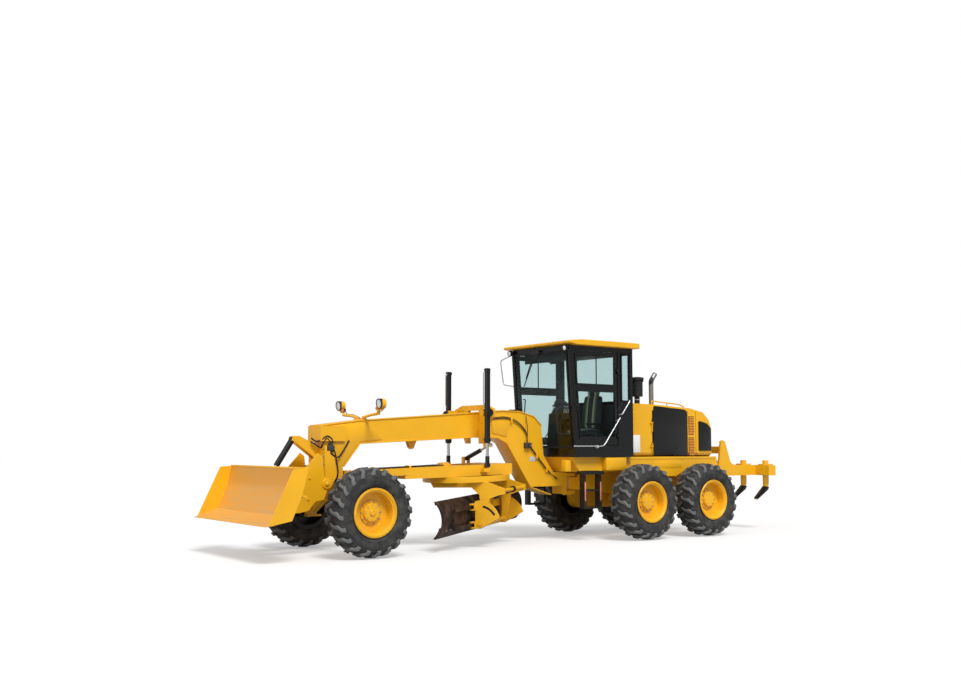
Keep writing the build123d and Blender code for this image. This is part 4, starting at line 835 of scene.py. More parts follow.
def gooseneck_lines():
    """Hydraulic lines clamped along the gooseneck's left side, with their valve and plate."""
    radius = bpy.context.scene.grader_sizes.hose_radius
    lines = Form()
    side = BEAM_HALF + 0.024
    for offset in (0.0, 0.024):
        lines.tube(at_y(side, (
            (1.1, 2.11 - offset), (0.76, 2.145 - offset), (0.55, 2.098 - offset), (0.39, 1.999 - offset),
            (0.277, 1.86 - offset), (0.277, 1.7), (0.13 + offset, 1.56), (-0.067 + offset, 1.34),
            (-0.233 + offset, 1.17), (-0.4, 1.05 + offset))), radius * 0.6, 0.12, 10)
    lines.tube([(0.3, side, 2.16), (0.292, side, 2.1), (0.285, side + 0.03, 1.95), (0.277, side, 1.71)],
               radius * 0.55, 0.1, 10)
    lines.make("gooseneck_lines", "front_half", "hose")
    valve = Form()
    valve.block((0.215, BEAM_HALF - 0.002, 1.6), (0.335, side + 0.035, 1.7), 0.006)
    for z in (1.625, 1.675):
        valve.bar((0.205, side + 0.01, z), (0.18, side + 0.01, z), 0.014, sides=6, bevel=0.002)
        valve.bar((0.275, side + 0.03, z), (0.275, side + 0.055, z), 0.015, sides=6, bevel=0.002)
    valve.make("gooseneck_valve", "front_half", "iron")
    clamps = Form()
    for x, z in ((0.62, 2.09), (0.06, 1.475), (-0.16, 1.24)):
        clamps.block((x - 0.018, BEAM_HALF - 0.002, z - 0.055), (x + 0.018, side + 0.016, z + 0.055), 0.004)
        clamps.bolt((x, side + 0.014, z), (0, 1, 0), 0.009)
    clamps.make("line_clamps", "front_half", "yellow")
    plate = Form()
    plate.plate(((0.075, 1.375), (0.205, 1.375), (0.205, 1.455), (0.075, 1.455)),
                upright(y=BEAM_HALF + 0.0015), 0.003, 0.001)
    plate.make("blank_metal_plate", "front_half", "silver_plate")
    caps = Form()
    for x, z in ((0.085, 1.385), (0.195, 1.385), (0.195, 1.445), (0.085, 1.445)):
        caps.ball((x, BEAM_HALF + 0.003, z), 0.005, (1, 0.5, 1), 10)
    caps.make("plate_rivets", "front_half", "bolt")


def hinge_details():
    """Caps over the centre hinge, each with a ring of bolts."""
    hinge = joint_at("articulation")
    caps = Form()
    for z, way in HINGE_FACES:
        caps.lathe([(0.0, 0.0), (0.1, 0.0), (0.1, 0.014), (0.092, 0.02), (0.0, 0.022)],
                   (hinge.x, 0, z - 0.001 * way), (0, 0, way), sides=40)
        before = set(caps.bm.verts)
        caps.bolt((hinge.x + 0.072, 0, z + 0.019 * way), (0, 0, way), 0.011)
        caps.again((hinge.x, 0, z), (0, 0, 1), 8, [v for v in caps.bm.verts if v not in before])
    caps.make("hinge_caps", "front_half", "yellow")


class GRADER_OT_frames(bpy.types.Operator):
    """Frames, plates and hydraulic cylinders with rounded edges, and what is fixed along the beam"""
    bl_idname = "grader.frames"
    bl_label = "Frames"

    def execute(self, context):
        edge = context.scene.grader_sizes.paint_edge
        for node in PLATE_NODES:
            dress(node, "yellow", edge)
        dress("lean_bar", "cylinder", edge)
        for node in BARRELS:
            dress(node, "cylinder", 0.003)
        for node in RODS:
            dress(node, "chrome", 0.002)
        beam_covers()
        gooseneck_lines()
        hinge_details()
        return {"FINISHED"}


# Cab

CAB_HALF = 0.81
CAB_REAR_X = -1.665
CAB_LOW_Z, CAB_HIGH_Z = 1.45, 3.39
CAB_FRONT_LOW_X, CAB_FRONT_HIGH_X = -0.29, -0.15
HINGE_X = -1.3
PANE_HALF, PANE_LOW_Z, PANE_HIGH_Z = 0.752, 1.608, 3.312
BACK_PANE_LOW_Z = 2.438
SEAL_T, SEAL_OUT = 0.01, 0.0105
DOOR_FACE = CAB_HALF - 0.01
RAIL_R, RAIL_OUT, RAIL_SLOPE = 0.011, 0.075, (2.46 - 1.665) / 0.63
GRAB_Y = 0.7
STEERING_HUB, STEERING_R, GRIP_R = (-0.705, 0, 2.315), 0.186, 0.015


def cab_front(z):
    """The x of the cab's leaning front at a height."""
    share = (z - CAB_LOW_Z) / (CAB_HIGH_Z - CAB_LOW_Z)
    return CAB_FRONT_LOW_X + (CAB_FRONT_HIGH_X - CAB_FRONT_LOW_X) * share


def frame_strip(form, outline, plane, width, thickness):
    """A flat frame round an outline, such as a window's rubber seal."""
    middle = sum((Vector(p) for p in outline), Vector((0, 0))) / len(outline)
    count = len(outline)
    for index in range(count):
        first, second = Vector(outline[index]), Vector(outline[(index + 1) % count])
        run = (second - first).normalized()
        inward = Vector((-run.y, run.x))
        if inward.dot(middle - first) < 0:
            inward = -inward
        form.plate((first, second, second - run * width + inward * width,
                    first + run * width + inward * width), plane, thickness, thickness * 0.25)


def rectangle(left, low, right, high):
    """The corners of an upright rectangle."""
    return (left, low), (right, low), (right, high), (left, high)


def cab_seals():
    """Rubber seals round the fixed panes."""
    seals = Form()
    low, high = PANE_LOW_Z, PANE_HIGH_Z
    lean = (cab_front(high) - cab_front(low)) / (high - low)
    plane = Matrix(((0, lean, 1, cab_front(0) + SEAL_OUT), (1, 0, 0, 0), (0, 1, -lean, 0), (0, 0, 0, 1)))
    frame_strip(seals, rectangle(-PANE_HALF, low, PANE_HALF, high), plane, 0.03, SEAL_T)
    frame_strip(seals, rectangle(-PANE_HALF, BACK_PANE_LOW_Z, PANE_HALF, high),
                upright(x=CAB_REAR_X - SEAL_OUT), 0.028, SEAL_T)
    for sign in (1, -1):
        frame_strip(seals, rectangle(-1.607, BACK_PANE_LOW_Z, -1.373, high),
                    upright(y=sign * (CAB_HALF + SEAL_OUT)), 0.022, SEAL_T)
    seals.make("window_seals", "chassis", "rubber")


def door_trim(side, sign):
    """Seals round the door's panes, the bar between them, its lock and its handles."""
    body = f"cab_door_{side}"
    face = DOOR_FACE
    seals = Form()
    for low, high in ((1.778, 2.612), (2.708, 3.242)):
        rear, front_low, front_high = HINGE_X + 0.058, cab_front(low) - 0.128, cab_front(high) - 0.128
        frame_strip(seals, ((rear, low), (front_low, low), (front_high, high), (rear, high)),
                    upright(y=sign * (face + 0.0103)), 0.024, SEAL_T)
    low, high = 2.72, 3.23
    middle = (HINGE_X + 0.07 + cab_front(low) - 0.14) / 2
    seals.block((middle - 0.01, sign * face + (0.002 if sign > 0 else -0.014), low),
                (middle + 0.01, sign * face + (0.014 if sign > 0 else -0.002), high), 0.002)
    seals.make(f"door_seals_{side}", body, "rubber")
    handle = Form()
    x, z = cab_front(2.38) - 0.105, 2.38
    handle.block((-0.045, -0.001, -0.075), (0.035, 0.001, 0.075), 0.0, (x, sign * face, z))
    handle.tube([(x, sign * y, z + rise) for y, rise in (
        (face, 0.055), (face + 0.045, 0.055), (face + 0.045, -0.055), (face, -0.055))], 0.01, 0.03, 10)
    handle.bar((x - 0.02, sign * face, z - 0.1), (x - 0.02, sign * (face + 0.012), z - 0.1), 0.016,
               bevel=0.002)
    handle.tube([(x - back, sign * (CAB_HALF - deep), z) for back, deep, z in (
        (0.02, 0.055, 2.05), (0.02, 0.11, 2.05), (0.06, 0.11, 2.5), (0.06, 0.055, 2.5))], 0.011, 0.04, 10)
    handle.make(f"door_handles_{side}", body, "trim")


def cab_outside():
    """Wiper, mirror loop and grab rails."""
    wiper = Form()
    wiper.block((cab_front(3.3) + 0.008, -0.18, 3.272), (cab_front(3.3) + 0.06, 0.04, 3.345), 0.01)
    wiper.tube([(cab_front(3.3) + 0.05, -0.06, 3.3), (cab_front(3.1) + 0.052, -0.24, 3.05),
                (cab_front(2.86) + 0.036, -0.38, 2.86)], 0.01, 0.05, 8)
    wiper.tube([(cab_front(z) + 0.022, y, z) for y, z in ((-0.17, 3.16), (-0.47, 2.72))], 0.009, 0.0, 8)
    wiper.make("windscreen_wiper", "chassis", "trim")
    wall = -CAB_HALF + 0.002
    feet = ((-0.23, 3.345), (cab_front(2.73) - 0.02, 2.734))
    loop = Form()
    loop.tube([(feet[0][0], wall, feet[0][1]), (-0.158, -1.16, 3.231), (-0.228, -1.16, 2.783),
               (feet[1][0], wall, feet[1][1])], RAIL_R, 0.05, 12)
    for x, z in feet:
        loop.block((x - 0.035, -CAB_HALF - 0.01, z - 0.028), (x + 0.02, wall, z + 0.028), 0.003)
    loop.make("mirror_loop", "chassis", "silver")
    for side, sign in SIDES:
        door_rails(side, sign)


def door_rails(side, sign):
    """The rail along the door, the upright one behind it and the grab at the cab's front corner."""
    wall = sign * CAB_HALF
    reach = sign * (CAB_HALF + RAIL_OUT)
    low = Form()
    top = 1.665 + 0.375 * RAIL_SLOPE
    low.tube(at_y(reach, ((-0.2, 1.64), (-0.84, 1.64), (-0.9, 1.665), (-1.275, top))), RAIL_R, 0.07, 14)
    for x, z in ((-0.2, 1.64), (-1.275, top)):
        low.ball((x, reach, z), 0.012, (1, 1, 1), 14)
    for x, z in ((-0.45, 1.64), (-1.24, 1.665 + 0.34 * RAIL_SLOPE)):
        low.bar((x, wall - sign * 0.012, z), (x, reach, z), RAIL_R, sides=16)
    low.make(f"door_rail_{side}", f"cab_door_{side}", "silver")
    feet = Form()
    feet.ball((-0.745, sign * (CAB_HALF + 0.05), 1.63), 0.03, (1, 1.4, 0.9), 16)
    feet.make(f"door_rail_foot_{side}", f"cab_door_{side}", "silver_plate")
    high = Form()
    start = 1.665 + 0.425 * RAIL_SLOPE
    high.tube([(-1.325, wall - sign * 0.001, start), (-1.325, reach, start), (-1.53, reach, 2.46),
               (-1.53, wall - sign * 0.001, 2.46)], RAIL_R, 0.05, 14)
    high.make(f"cab_rail_{side}", "chassis", "silver")
    corner = Form()
    corner.tube(at_y(sign * GRAB_Y, ((-0.24, 2.3), (0.03, 2.29), (0.03, 1.86), (-0.262, 1.84))),
                0.012, 0.06, 12)
    corner.make(f"front_grab_{side}", "chassis", "trim")


def lamp(form, lens, centre, axis, radius, depth=0.06):
    """A round work lamp: a bowl, a rim and a lens."""
    form.lathe([(0.0, -depth), (radius * 0.55, -depth), (radius * 0.92, -depth * 0.45), (radius, 0.0),
                (radius, 0.014), (radius * 0.9, 0.016), (radius * 0.88, 0.004), (0.0, 0.002)],
               centre, axis, 32)
    lens.lathe([(radius * 0.885, 0.006), (radius * 0.8, 0.012), (radius * 0.45, 0.018), (0.0, 0.02)],
               centre, axis, 32)


def roof_details():
    """Work lamps at the roof's corners, and the lining under it."""
    bowls, lenses = Form(), Form()
    for y in (0.78, -0.78):
        for x, way in ((-0.135, 1), (-1.64, -1)):
            centre = Vector((x + 0.03 * way, y * (1.0 if way > 0 else 0.9), 3.335))
            lamp(bowls, lenses, centre + Vector((0.02 * way, 0, 0)), Vector((way, 0, -0.18)), 0.05, 0.05)
            bowls.block((-0.02, -0.015, 0.0), (0.01, 0.015, 0.062), 0.003, centre)
    bowls.make("roof_lamp_bowls", "chassis", "trim")
    lenses.make("roof_lamp_lenses", "chassis", "lens")
    skin = Form()
    skin.block((-1.715, -0.925, 3.4), (-0.215, 0.925, 3.412), 0.004)
    skin.make("roof_lining", "chassis", "trim")


def seat():
    """Cushion, backrest and headrest of sewn cloth on a suspension base."""
    for name, centre, size, tilt in (
            ("seat_cushion", (-1.175, 0, 1.895), (0.49, 0.49, 0.125), 3),
            ("seat_backrest", (-1.41, 0, 2.27), (0.115, 0.45, 0.6), -7),
            ("seat_headrest", (-1.452, 0, 2.64), (0.095, 0.27, 0.155), -7)):
        bm = bmesh.new()
        bmesh.ops.create_cube(bm, size=1.0)
        bmesh.ops.subdivide_edges(bm, edges=bm.edges, cuts=7, use_grid_fill=True)
        thin = size.index(min(size))
        wide = [axis for axis in range(3) if axis != thin]
        # crowned in the middle, drawn in along a seam, and rounded at the corners
        for vert in bm.verts:
            a, b = (vert.co[axis] * 2 for axis in wide)
            crown = max(0.0, 1 - a * a) * max(0.0, 1 - b * b)
            seam = 0.1 * math.exp(-((abs(b if thin == 2 else a) - 0.55) / 0.07) ** 2)
            vert.co[thin] *= 0.62 + 0.38 * crown ** 0.35 - seam
            for axis, other in zip(wide, wide[::-1]):
                vert.co[axis] *= 1 - 0.07 * (2 * vert.co[other]) ** 4
        bmesh.ops.transform(bm, matrix=Matrix.Translation(centre)
                            @ Matrix.Rotation(math.radians(tilt), 4, "Y")
                            @ Matrix.Diagonal((*size, 1.0)), verts=bm.verts)
        for face in bm.faces:
            face.smooth = True
        mesh = bpy.data.meshes.new(name)
        bm.to_mesh(mesh)
        bm.free()
        mesh.materials.append(material("cloth"))
        pad = placed(name, mesh)
        smooth = pad.modifiers.new("stuffing", "SUBSURF")
        smooth.levels = smooth.render_levels = 2
        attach(pad, "chassis")
    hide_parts("seat_cushions")
    base = Form()
    base.block((-1.4, -0.235, 1.812), (-0.96, 0.235, 1.834), 0.006)
    for y in (-0.285, 0.285):
        base.block((-1.36, y - 0.03, 2.02), (-1.02, y + 0.03, 2.06), 0.014)
        base.bar((-1.34, y * 0.86, 1.83), (-1.34, y * 0.98, 2.03), 0.014)
    base.block((-1.455, -0.06, 2.5), (-1.44, 0.06, 2.62), 0.004)
    base.make("seat_frame", "chassis", "console")


def cab_inside():
    """Steering wheel, console, levers, floor mat, side consoles and head lining."""
    dress("cab_controls", "console", 0.008)
    wheel = Form()
    hub = Vector(STEERING_HUB)
    way = Vector((-1, 0, 0.9)).normalized()
    ring = [(STEERING_R + GRIP_R * math.cos(a), GRIP_R * math.sin(a))
            for a in [math.tau * i / 12 for i in range(13)]]
    wheel.lathe(ring, hub + way * 0.03, way, sides=48)
    wheel.lathe([(0.0, 0.036), (0.04, 0.034), (0.05, 0.02), (0.05, 0.0), (0.0, 0.0)],
                hub + way * 0.01, way, 24)
    wheel.make("steering_wheel", "chassis", "rubber")
    levers, knobs = Form(), Form()
    for sign in (1, -1):
        for index in range(4):
            foot = Vector((-0.59 - 0.012 * index, sign * (0.145 + 0.026 * index), 2.225))
            tip = foot + Vector((-0.035, sign * 0.004, 0.15))
            levers.bar(foot, tip, 0.005, sides=8)
            knobs.ball(tip, 0.015, (1, 1, 1.3), 12)
    levers.make("lever_rods", "chassis", "silver")
    knobs.make("lever_knobs", "chassis", "rubber")
    mat = Form()
    mat.block((-1.58, -0.735, 1.5008), (-0.37, 0.735, 1.508), 0.002)
    for index in range(18):
        y = -0.68 + index * 0.08
        mat.block((-1.55, y - 0.012, 1.5075), (-0.4, y + 0.012, 1.5115), 0.0015)
    mat.make("floor_mat", "chassis", "rubber")
    panel = Form()
    panel.block((-1.6, -0.7, 1.52), (-1.56, 0.7, 2.4), 0.012)
    panel.block((-1.56, -0.3, 1.52), (-1.46, 0.3, 1.72), 0.012)
    for sign in (1, -1):
        panel.block((-1.5, sign * 0.5 - 0.12, 1.51), (-0.98, sign * 0.5 + 0.12, 1.8), 0.02)
        panel.block((-1.3, sign * 0.43 - 0.05, 1.8), (-1.02, sign * 0.43 + 0.05, 1.86), 0.012)
    panel.make("cab_side_consoles", "chassis", "console")
    sun = Form()
    sun.block((-0.36, -0.64, 3.14), (-0.325, 0.64, 3.3), 0.008)
    sun.block((-1.55, -0.55, 3.26), (-0.6, 0.55, 3.318), 0.015)
    sun.bar((-0.5, 0.0, 3.2), (-0.5, 0.0, 3.27), 0.006, sides=8)
    sun.block((-0.515, -0.12, 3.12), (-0.495, 0.12, 3.2), 0.008)
    sun.make("cab_head_lining", "chassis", "trim")


class GRADER_OT_cab(bpy.types.Operator):
    """Cab with seals, doors, glass, seat, controls, rails, mirror loop and lamps"""
    bl_idname = "grader.cab"
    bl_label = "Cab"

    def execute(self, context):
        edge = context.scene.grader_sizes.sheet_edge
        dress("cab_shell", "cab_black", edge)
        dress("cab_roof", "yellow_clean", edge * 1.6)
        for node in ("cab_glass", "door_glass_left", "door_glass_right"):
            panes = frame["nodes"][node].data.materials
            panes.clear()
            panes.append(material("glass"))
        for side, sign in SIDES:
            dress(f"cab_door_{side}", "cab_black", 0.004)
            door_trim(side, sign)
        cab_seals()
        cab_outside()
        roof_details()
        seat()
        cab_inside()
        return {"FINISHED"}


# Engine hood

HOOD_HALF = 0.7
HOOD_SEAMS = (-2.262, -3.19, -3.405)
LOUVRES = 11
STEP_Y, STEP_ZS = 0.765, (0.59, 0.89, 1.21)
DECK_HALF = 0.7
RIB_ZS = (2.6, 2.64, 2.68, 2.72, 2.76, 2.8)
STACK_X, STACK_BEND_Z, STACK_END = -2.935, 2.9, (-0.11, 0.14)
CLEANER_AT = (-2.07, 0.5)


def soft_corner(outline, corner, radius, steps=5):
    """The outline with one of its corners turned into an arc."""
    points = [Vector(p) for p in outline]
    before, here, after = points[corner - 1], points[corner], points[(corner + 1) % len(points)]
    start = here + (before - here).normalized() * radius
    end = here + (after - here).normalized() * radius
    arc = [start * (1 - t) ** 2 + here * 2 * t * (1 - t) + end * t ** 2
           for t in [i / steps for i in range(steps + 1)]]
    return [tuple(p) for p in points[:corner] + arc + points[corner + 1:]]


def hood_side(side, sign):
    """The black door's skin and latch, the louvres behind it, the rear's black shroud, seams and rails."""
    skin = Form()
    outline = soft_corner(((-2.282, 1.475), (-2.282, 2.385), (-3.172, 2.328), (-3.172, 1.475)), 2, 0.1)
    outline = soft_corner(outline, 1, 0.04)
    skin.plate(outline, upright(y=sign * (HOOD_HALF + 0.0035)), 0.008, 0.003)
    skin.make(f"hood_door_skin_{side}", f"hood_door_{side}", "panel_black", "yellow_paint")
    latch = Form()
    latch.lathe([(0.0, 0.004), (0.026, 0.004), (0.032, 0.0), (0.036, 0.004), (0.036, 0.009), (0.0, 0.009)],
                (-2.866, sign * (HOOD_HALF + 0.003), 1.622), (0, sign, 0), 28)
    y = sign * (HOOD_HALF + 0.012)
    latch.block((-2.875, y - 0.006, 1.595), (-2.857, y + 0.006, 1.649), 0.004)
    latch.make(f"hood_latch_{side}", f"hood_door_{side}", "trim")
    face = HOOD_HALF + 0.001
    slots = Form()
    for low, high in ((1.47, 1.8), (1.86, 2.2)):
        pitch = (high - low) / LOUVRES
        for index in range(LOUVRES):
            z = low + pitch * (index + 0.5)
            slots.plate(((-3.352, z - pitch * 0.42), (-3.352, z + pitch * 0.3), (-3.218, z + pitch * 0.3),
                         (-3.218, z - pitch * 0.42)), upright(y=sign * (face + 0.004)), 0.01, 0.003)
    slots.make(f"louvre_blades_{side}", "chassis", "orange_panel")
    # painted shade: the black beds behind the blades stand for the shade in the openings between them
    bed = Form()
    for low, high in ((1.462, 1.808), (1.852, 2.208)):
        bed.plate(((-3.36, low), (-3.36, high), (-3.21, high), (-3.21, low)),
                  upright(y=sign * (face - 0.001)), 0.004, 0.001)
    bed.make(f"louvre_beds_{side}", "chassis", "cab_black", "yellow_paint")
    shroud = Form()
    outline = soft_corner(((-3.475, 1.56), (-3.475, 2.13), (-3.7, 2.08), (-3.815, 1.985),
                           (-3.815, 1.56)), 1, 0.05)
    shroud.plate(outline, upright(y=sign * (face + 0.008)), 0.02, 0.006)
    shroud.make(f"rear_shroud_{side}", "chassis", "panel_black")
    seams = Form()
    for x in HOOD_SEAMS:
        seams.block((-0.0035, -0.0012, 1.47), (0.0035, 0.0012, 2.3), 0.0, (x, sign * HOOD_HALF, 0))
    seams.make(f"hood_seams_{side}", "chassis", "cab_black")
    rail = Form()
    wall = sign * 0.64
    rail.tube(at_y(wall, ((-2.3, 2.395), (-2.3, 2.478), (-3.02, 2.428), (-3.13, 2.395), (-3.16, 2.352))),
              0.012, 0.07, 12)
    rail.bar((-2.7, wall, 2.38), (-2.7, wall, 2.45), 0.01)
    rail.make(f"hood_rail_{side}", "chassis", "yellow")
    catch = Form()
    for z in (1.62, 1.98):
        catch.tube([(-2.225, sign * (HOOD_HALF + out), z + rise) for out, rise in (
            (-0.002, 0.07), (0.035, 0.07), (0.035, -0.07), (-0.002, -0.07))], 0.008, 0.03, 10)
    catch.make(f"hood_grabs_{side}", "chassis", "yellow")


def hood_top_parts():
    """Filler caps, the rear grille's slats, the hood's bolts and a blank white plate."""
    caps = Form()
    for x, y, radius in ((-2.55, -0.32, 0.06), (-3.3, 0.0, 0.05)):
        z = 2.41 + (x + 2.3) * 0.05 / 0.95
        caps.lathe([(0.0, 0.034), (radius * 0.9, 0.03), (radius, 0.02), (radius, -0.004), (0.0, -0.004)],
                   (x, y, z), (0, 0, 1), 32)
    caps.make("filler_caps", "chassis", "trim")
    slats = Form()
    for index in range(15):
        z = 1.665 + index * 0.0205
        slats.block((-3.937, -0.53, z - 0.0035), (-3.915, 0.53, z + 0.0045), 0.0015)
    slats.make("rear_grille_slats", "chassis", "panel_black")
    bolts = Form()
    for sign in (1, -1):
        for x in (-1.8, -2.0, -3.44, -3.6, -3.76):
            bolts.bolt((x, sign * (HOOD_HALF + 0.0005), 1.505), (0, sign, 0), 0.009)
    bolts.make("hood_bolts", "chassis", "bolt")
    plate = Form()
    plate.plate(((-1.668, 1.529), (-1.937, 1.529), (-1.937, 1.844), (-1.668, 1.844)),
                upright(y=HOOD_HALF + 0.002), 0.004, 0.0015)
    plate.make("blank_white_plate", "chassis", "plate")


def stacks():
    """The exhaust's pipe, collar and mouth, and the air cleaner's ribs, dome and clamp."""
    dress("hood_stacks", "trim", 0.003)
    up = (0, 0, 1)
    pipe = Form()
    x = STACK_X
    end = Vector((x + STACK_END[0], 0, STACK_BEND_Z + STACK_END[1]))
    pipe.tube([(x, 0, 2.372), (x, 0, STACK_BEND_Z), end], 0.0458, 0.08, 28)
    pipe.lathe([(0.047, -0.003), (0.062, 0.0), (0.062, 0.006), (0.047, 0.02)], (x, 0, 2.376), up, 32)
    pipe.make("exhaust_pipe", "chassis", "stack")
    # the mouth closes the pipe with a dark disc: soot, and painted shade inside the pipe
    mouth = Form()
    way = Vector((STACK_END[0], 0, STACK_END[1])).normalized()
    mouth.lathe([(0.0, -0.01), (0.039, -0.008), (0.041, 0.0008), (0.0462, 0.0008), (0.0462, -0.014)],
                end, way, 28)
    mouth.make("exhaust_mouth", "chassis", "carcass", "stack_steel")
    cleaner = Form()
    x, y = CLEANER_AT
    for z in RIB_ZS:
        cleaner.lathe([(0.104, -0.008), (0.11, -0.005), (0.11, 0.005), (0.104, 0.008)], (x, y, z), up, 40)
    cleaner.lathe([(0.126, -0.012), (0.1265, 0.01), (0.11, 0.022), (0.05, 0.03), (0.0, 0.031)],
                  (x, y, 2.888), up, 40)
    for index in range(18):
        angle = math.tau * index / 18
        out = Vector((math.cos(angle), math.sin(angle), 0))
        foot = Vector((x, y, 2.826)) + out * 0.116
        cleaner.bar(foot, foot + Vector((0, 0, 0.036)), 0.006, sides=8)
    cleaner.lathe([(0.05, -0.002), (0.06, 0.0), (0.064, 0.01), (0.052, 0.02), (0.05, 0.02)],
                  (x, y, 2.404), up, 32)
    cleaner.make("air_cleaner_ribs", "chassis", "trim")
    clamp = Form()
    clamp.lathe([(0.051, -0.009), (0.0535, -0.009), (0.0535, 0.009), (0.051, 0.009)], (x, y, 2.5), up, 32)
    clamp.bolt((x, y + 0.056, 2.5), (0, 1, 0), 0.006, False)
    clamp.make("cleaner_clamp", "chassis", "silver")


def steps_and_deck():
    """Treads, reflectors, tool boxes, tail lamps and the deck's edges."""
    treads, reflectors, boxes, tails, lenses, edge = (Form() for _ in range(6))
    for sign in (1, -1):
        for z in STEP_ZS:
            for index in range(7):
                treads.block((-0.008, -0.055, -0.001), (0.008, 0.055, 0.005), 0.001,
                             (-0.815 + index * 0.05, sign * STEP_Y, z))
        for x in (-0.848, -0.492):
            reflectors.block((-0.014, -0.0025, 0.7), (0.014, 0.003, 1.02), 0.002, (x, sign * 0.83, 0))
        for y, half, low, high, bevel in (
                (0.762, 0.06, (-1.48, 1.215), (-1.0, 1.44), 0.01),
                (0.824, 0.004, (-1.44, 1.24), (-1.04, 1.415), 0.003),
                (0.62, 0.06, (-0.3, 1.2), (-0.18, 1.4), 0.01)):
            boxes.block((low[0], sign * y - half, low[1]), (high[0], sign * y + half, high[1]), bevel)
        tails.block((-4.03, sign * 0.6 - 0.075, 1.27), (-3.985, sign * 0.6 + 0.075, 1.37), 0.006)
        for offset in (-0.035, 0.035):
            lenses.block((-4.042, -0.028, 1.283), (-4.028, 0.028, 1.357), 0.005, (0, sign * 0.6 + offset, 0))
        edge.block((-3.95, -0.004, 1.405), (-1.7, 0.006, 1.448), 0.003, (0, sign * DECK_HALF, 0))
        edge.block((-3.0, -0.004, 1.24), (-2.3, 0.005, 1.37), 0.004, (0, sign * DECK_HALF, 0))
    treads.make("step_treads", "chassis", "frame_black")
    reflectors.make("step_reflectors", "chassis", "pink")
    boxes.make("deck_boxes", "chassis", "yellow")
    tails.make("tail_lamp_boxes", "chassis", "trim")
    lenses.make("tail_lamp_lenses", "chassis", "red_lens")
    edge.make("deck_edges", "chassis", "yellow")


class GRADER_OT_hood(bpy.types.Operator):
    """Engine hood with its doors, louvres, grille, stacks, rails and steps"""
    bl_idname = "grader.hood"
    bl_label = "Hood"

    def execute(self, context):
        edge = context.scene.grader_sizes.sheet_edge
        dress("hood", "yellow", edge)
        dress("engine_block", "iron", 0.02)
        dress("radiator_guard", "panel_black", 0.006)
        dress("access_steps", "frame_black", 0.003)
        for side, sign in SIDES:
            dress(f"hood_door_{side}", "panel_black", 0.004)
            hood_side(side, sign)
        hood_top_parts()
        stacks()
        steps_and_deck()
        return {"FINISHED"}


# Blade group

# in the circle's frame: u across the blade, v along it, z up
BLADE_EDGE_U = -0.133
BLADE_LOW, BLADE_HIGH = -1.02, -0.445
BLADE_BULGE = 0.13
BLADE_T = 0.022
BLADE_LENGTH = 3.66
BLADE_SHIFT = -0.15
BLADE_START = BLADE_SHIFT - BLADE_LENGTH / 2
EDGE_BOLTS = 22
QUADRANT_V = 0.586
QUADRANT_PIVOT = (-0.47, -0.88)
# heights above a lift cylinder's trunnion, and how far its rod's eye hangs below the barrel's lower cap
LIFT_FOOT, LIFT_TOP, EYE_DROP = -0.476, 0.729, 0.386
# in the drawbar's frame, back from its ball
DRIVE_X, SWIVEL_X = -1.86, -2.3


def blade_face(z):
    """The u of the moldboard's front at a height."""
    half = (BLADE_HIGH - BLADE_LOW) / 2
    radius = (half ** 2 + BLADE_BULGE ** 2) / (2 * BLADE_BULGE)
    middle = (BLADE_HIGH + BLADE_LOW) / 2
    depth = math.sqrt(max(0.0, radius ** 2 - (z - middle) ** 2)) - (radius - BLADE_BULGE)
    return BLADE_EDGE_U - depth


def blade_edges():
    """The cutting edge and end bits with their rows of bolts, and the moldboard's top lip."""
    edge = Form(SWING)
    foot = BLADE_LOW + 0.004
    outline = [(blade_face(z) + 0.0005, z) for z in (-0.845, -0.9, -0.96, foot)]
    outline += [(blade_face(BLADE_LOW) + 0.016, foot)]
    outline += [(blade_face(z) + 0.0165, z) for z in (-0.96, -0.9, -0.85)]
    edge.plate(outline, Matrix.Translation((0, BLADE_SHIFT, 0)) @ upright(y=0), BLADE_LENGTH - 0.004, 0.002)
    for v in (BLADE_START + 0.006, BLADE_START + BLADE_LENGTH - 0.146):
        edge.plate([(u + 0.016, z) for u, z in outline[:4]] + [(u + 0.012, z) for u, z in outline[4:]],
                   Matrix.Translation((0, v + 0.07, 0)) @ upright(y=0), 0.14, 0.002)
    edge.make("cutting_edge", "moldboard", "edge")
    bolts = Form(SWING)
    for index in range(EDGE_BOLTS):
        v = BLADE_START + 0.22 + index * (BLADE_LENGTH - 0.44) / (EDGE_BOLTS - 1)
        bolts.bolt((blade_face(-0.885) + 0.016, v, -0.885), (1, 0, 0.25), 0.014, False)
        bolts.bolt((blade_face(-0.905) - BLADE_T - 0.0005, v, -0.905), (-1, 0, 0), 0.013)
    bolts.make("cutting_edge_bolts", "moldboard", "bolt", "worn_steel")
    lip = Form(SWING)
    back, top = BLADE_EDGE_U - BLADE_T, BLADE_HIGH - 0.004
    lip.block((back - 0.012, BLADE_START + 0.004, top - 0.05),
              (back + 0.004, BLADE_START + BLADE_LENGTH - 0.004, top), 0.004)
    lip.make("moldboard_top_lip", "moldboard", "blade")


